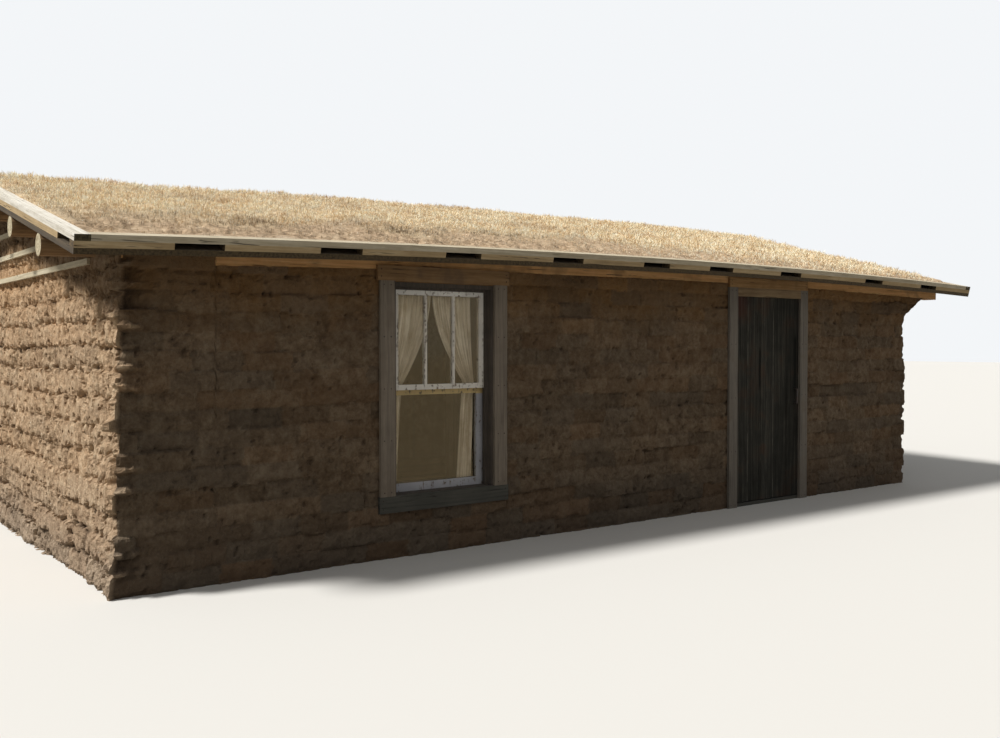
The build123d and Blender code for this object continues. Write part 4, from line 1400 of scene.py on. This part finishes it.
curtain = {
    "fullness": 1.68,       # flat width over the width on the rod
    "foldShare": 0.282,     # half depth of a fold over the cloth that it takes up, for this wave
    "folds": 10,
    "samples": 10,          # points across one fold
    "rows": 60,
    "drawCurve": 1.8,       # how the sides run down to the tie
    "spreadCurve": 0.6,     # and out again below it
    "foldDrift": 0.5,       # how far the folds wander, as an angle
    "driftWaves": (3.1, 1.3),     # over the width and the length of the cloth
    "foldUneven": 0.15,     # how much they differ in depth
    "unevenWaves": 11,      # over the width
    "thickness": 0.0008,
    "tieWidth": {-1: 0.15, 1: 0.10},      # for the left and the right curtain
    "tieShift": {-1: 0.0, 1: 0.030},      # how far the tie draws the outer edge outwards
    "tieHeight": 1.22,
    "tailWidth": {-1: 0.09, 1: 0.13},
    "inset": {-1: 0.0, 1: 0.05},          # how far it hangs in from the side of the window
    "depth": 0.0185,        # half the room that the folds have, front to back
    "hem": 0.07,            # how far the cloth hangs below its stand-in, down behind the bottom rail
}


def curtainSheet(name, nodeName, side):
    # side is -1 for the curtain drawn to the left, 1 for the one drawn to the right
    low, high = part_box(nodeName)
    width = high[0] - low[0] - curtain["inset"][side]
    length = high[2] - low[2] + curtain["hem"]
    tieWidth, tailWidth = curtain["tieWidth"][side], curtain["tailWidth"][side]
    flatWidth = width * curtain["fullness"]
    middleY = (low[1] + high[1]) / 2
    fixedX = low[0] if side < 0 else high[0] - curtain["inset"][side]
    columns = curtain["folds"] * curtain["samples"]
    rows = curtain["rows"]
    drop = (high[2] - curtain["tieHeight"]) / length
    points, uvs = [], []
    for r in range(rows + 1):
        t = r / rows
        if t < drop:
            ease = t / drop
            span = width + (tieWidth - width) * ease ** curtain["drawCurve"]
        else:
            ease = (t - drop) / (1 - drop)
            span = tieWidth + (tailWidth - tieWidth) * ease ** curtain["spreadCurve"]
        drawn = curtain["tieShift"][side] * (ease ** curtain["drawCurve"] if t < drop else 1 - ease)
        pitch = span / curtain["folds"]
        # a narrower row folds deeper, so that it holds the same cloth
        want = flatWidth / curtain["folds"]
        deep = min(curtain["foldShare"] * math.sqrt(max(want ** 2 - pitch ** 2, 0)), curtain["depth"])
        uneven = curtain["foldUneven"]
        driftS, driftT = curtain["driftWaves"]
        for c in range(columns + 1):
            s = c / columns
            phase = s * curtain["folds"] * 2 * math.pi
            phase += curtain["foldDrift"] * math.sin(driftS * s + driftT * t)
            wave = math.sin(phase) * deep * (1 - uneven + uneven * math.sin(curtain["unevenWaves"] * s))
            inset = s * span
            x = fixedX + side * drawn - side * inset
            points.append((x, middleY + wave, high[2] - t * length))
            uvs.append((s * flatWidth, t * length))
    faces = []
    for r in range(rows):
        for c in range(columns):
            a = r * (columns + 1) + c
            faces.append((a, a + 1, a + columns + 2, a + columns + 1))
    mesh = bpy.data.meshes.new(name)
    mesh.from_pydata(points, [], faces)
    layer = mesh.uv_layers.new(name="cloth")
    for loop in mesh.loops:
        layer.data[loop.index].uv = uvs[loop.vertex_index]
    mesh.materials.append(curtainCotton)
    for face in mesh.polygons:
        face.use_smooth = True
    obj = newObject(name, mesh)
    shell = obj.modifiers.new("thickness", "SOLIDIFY")
    shell.thickness = curtain["thickness"]
    shell.offset = 0.0
    fasten(obj, "house", (nodeName,))


curtainSheet("leftCurtain", "curtain_left", -1)
curtainSheet("rightCurtain", "curtain_right", 1)
print("curtains hung")


# Nail heads, set out by a tree from the points where the boards are nailed.

nails = {
    "radius": 0.0045,
    "height": 0.0016,
    "sides": 9,
    "sizes": (0.85, 1.15),
    "inset": 0.028,         # from the edges of a board
    "boardWidth": 0.112,    # of the side casings
    "uprightRows": 5,       # pairs of nails up a long upright board
    "leafInset": 0.05,      # from the edges of the leaf and of the ledges
    "leafColumns": 10,
}


def nailGroup():
    inputs = [("Radius", "Float", nails["radius"]), ("Height", "Float", nails["height"]),
              ("Material", "Material", None)]
    g, start, end = newGroup("nail heads", inputs)
    sizes = {"Vertices": nails["sides"], "Radius": start["Radius"], "Depth": start["Height"]}
    head = addNode(g, "GeometryNodeMeshCylinder", sizes)
    facing = named(g, "facing", "FLOAT_VECTOR")
    lie = addNode(g, "FunctionNodeAlignRotationToVector", {"Vector": facing}, axis="Z").outputs[0]
    size = randomBetween(g, *nails["sizes"], 6)
    heads = addNode(g, "GeometryNodeInstanceOnPoints",
                    {"Points": start["Geometry"], "Instance": head.outputs["Mesh"], "Rotation": lie,
                     "Scale": point(g, size, size, size)}).outputs[0]
    finishGroup(g, heads, start["Material"], end)
    return g


def boardNails(low, high):
    # pairs near each end of a board on the front of the house, and more up a long upright one
    edge = nails["inset"]
    xs, zs = (low[0] + edge, high[0] - edge), (low[2] + edge, high[2] - edge)
    if high[2] - low[2] > 3 * (high[0] - low[0]):
        zs = np.linspace(low[2] + edge, high[2] - edge, nails["uprightRows"])
    return [(x, low[1], z) for x in xs for z in zs]


def buildNails():
    group = nailGroup()
    board, edge = nails["boardWidth"], nails["leafInset"]
    spots = []
    for low, high in (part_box("window_casings"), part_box("door_casings")):
        spots += boardNails(low, (low[0] + board, low[1], high[2]))
        spots += boardNails((high[0] - board, low[1], low[2]), high)
    for name in ("window_head_casing", "window_sill_board", "door_lintel_board"):
        spots += boardNails(*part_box(name))
    leafLow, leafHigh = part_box("door_planks")
    ledgeLow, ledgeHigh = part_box("door_ledges")
    leafSpots = [
        (x, leafLow[1], z)
        for x in np.linspace(leafLow[0] + edge, leafHigh[0] - edge, nails["leafColumns"])
        for z in (ledgeLow[2] + edge, (ledgeLow[2] + ledgeHigh[2]) / 2, ledgeHigh[2] - edge)
    ]
    for name, body, places in (("frameNails", "house", spots), ("doorNails", "door", leafSpots)):
        mesh = bpy.data.meshes.new(name)
        mesh.from_pydata(places, [], [])
        facing = np.tile(np.array([0.0, -1.0, 0.0], np.float32), len(places))
        mesh.attributes.new("facing", "FLOAT_VECTOR", "POINT").data.foreach_set("vector", facing)
        obj = newObject(name, mesh)
        grow(obj, group, {"Material": rustedIron})
        fasten(obj, body)
        print("nails", name, len(places))


buildNails()


# Studio: pale floor, soft light, and the camera where the photograph was taken.

studio = {
    "sunFrom": (-0.60, 0.16, 0.78),
    "sunStrength": 3.9,
    "sunAngle": 10.0,
    "fillFrom": (-0.55, -0.60, 0.58),
    "fillStrength": 0.19,
    "fillAngle": 60.0,
    "skyStrength": 0.205,
    "skyColour": (0.93, 0.96, 1.0),
    "paleColour": (0.90, 0.92, 0.94),
    "floorShown": tone(226, 222, 214),
    "floorBounce": tone(128, 124, 116),
    "floorRoughness": 0.9,
    "floorSize": 160.0,
    "cameraPlace": (-6.174, -8.840, 1.494),
    "cameraAhead": (0.606, 0.7955),
    "cameraPitch": -1.37,
    "lens": 36.18,
    "clipEnd": 400.0,
}


def towards(obj, direction):
    obj.rotation_euler = Vector(direction).to_track_quat("-Z", "Y").to_euler()


def addSun(name, source, strength, angle):
    light = bpy.data.lights.new(name, "SUN")
    light.energy = strength
    light.angle = math.radians(angle)
    obj = newObject(name, light)
    towards(obj, [-c for c in source])


def showsPlain(tree):
    # 1 for rays that see the surroundings straight, in a gloss or through glass
    path = addNode(tree, "ShaderNodeLightPath")
    seen = calc(tree, "MAXIMUM", path.outputs["Is Camera Ray"], path.outputs["Is Glossy Ray"])
    return calc(tree, "MAXIMUM", seen, path.outputs["Is Transmission Ray"])


def buildStudio():
    world = bpy.data.worlds.new("studio")
    bpy.context.scene.world = world
    world.use_nodes = True
    tree = world.node_tree
    tree.nodes.clear()
    seen = showsPlain(tree)
    sky = scaled(tree, studio["skyColour"], studio["skyStrength"])
    colour = blend(tree, seen, sky, studio["paleColour"])
    shine = addNode(tree, "ShaderNodeBackground", {"Color": colour, "Strength": 1.0})
    addNode(tree, "ShaderNodeOutputWorld", {"Surface": shine.outputs[0]})
    addSun("key", studio["sunFrom"], studio["sunStrength"], studio["sunAngle"])
    addSun("fill", studio["fillFrom"], studio["fillStrength"], studio["fillAngle"])

    half = studio["floorSize"] / 2
    mesh = bpy.data.meshes.new("studioFloor")
    corners = [(-half, -half, 0), (half, -half, 0), (half, half, 0), (-half, half, 0)]
    mesh.from_pydata(corners, [], [(0, 1, 2, 3)])
    material, tree, shader, _ = newMaterial("studio floor")
    base = blend(tree, showsPlain(tree), studio["floorBounce"], studio["floorShown"])
    setShader(tree, shader, {"Base Color": base, "Roughness": studio["floorRoughness"]})
    mesh.materials.append(material)
    newObject("studioFloor", mesh)

    camera = newObject("camera", bpy.data.cameras.new("camera"))
    camera.data.lens = studio["lens"]
    camera.data.sensor_fit = "HORIZONTAL"
    camera.data.clip_end = studio["clipEnd"]
    camera.location = studio["cameraPlace"]
    pitch = math.radians(studio["cameraPitch"])
    ahead = Vector(studio["cameraAhead"]).normalized() * math.cos(pitch)
    towards(camera, (ahead.x, ahead.y, math.sin(pitch)))
    bpy.context.scene.camera = camera
    bpy.context.scene.view_settings.view_transform = "Standard"
    print("studio ready")


buildStudio()
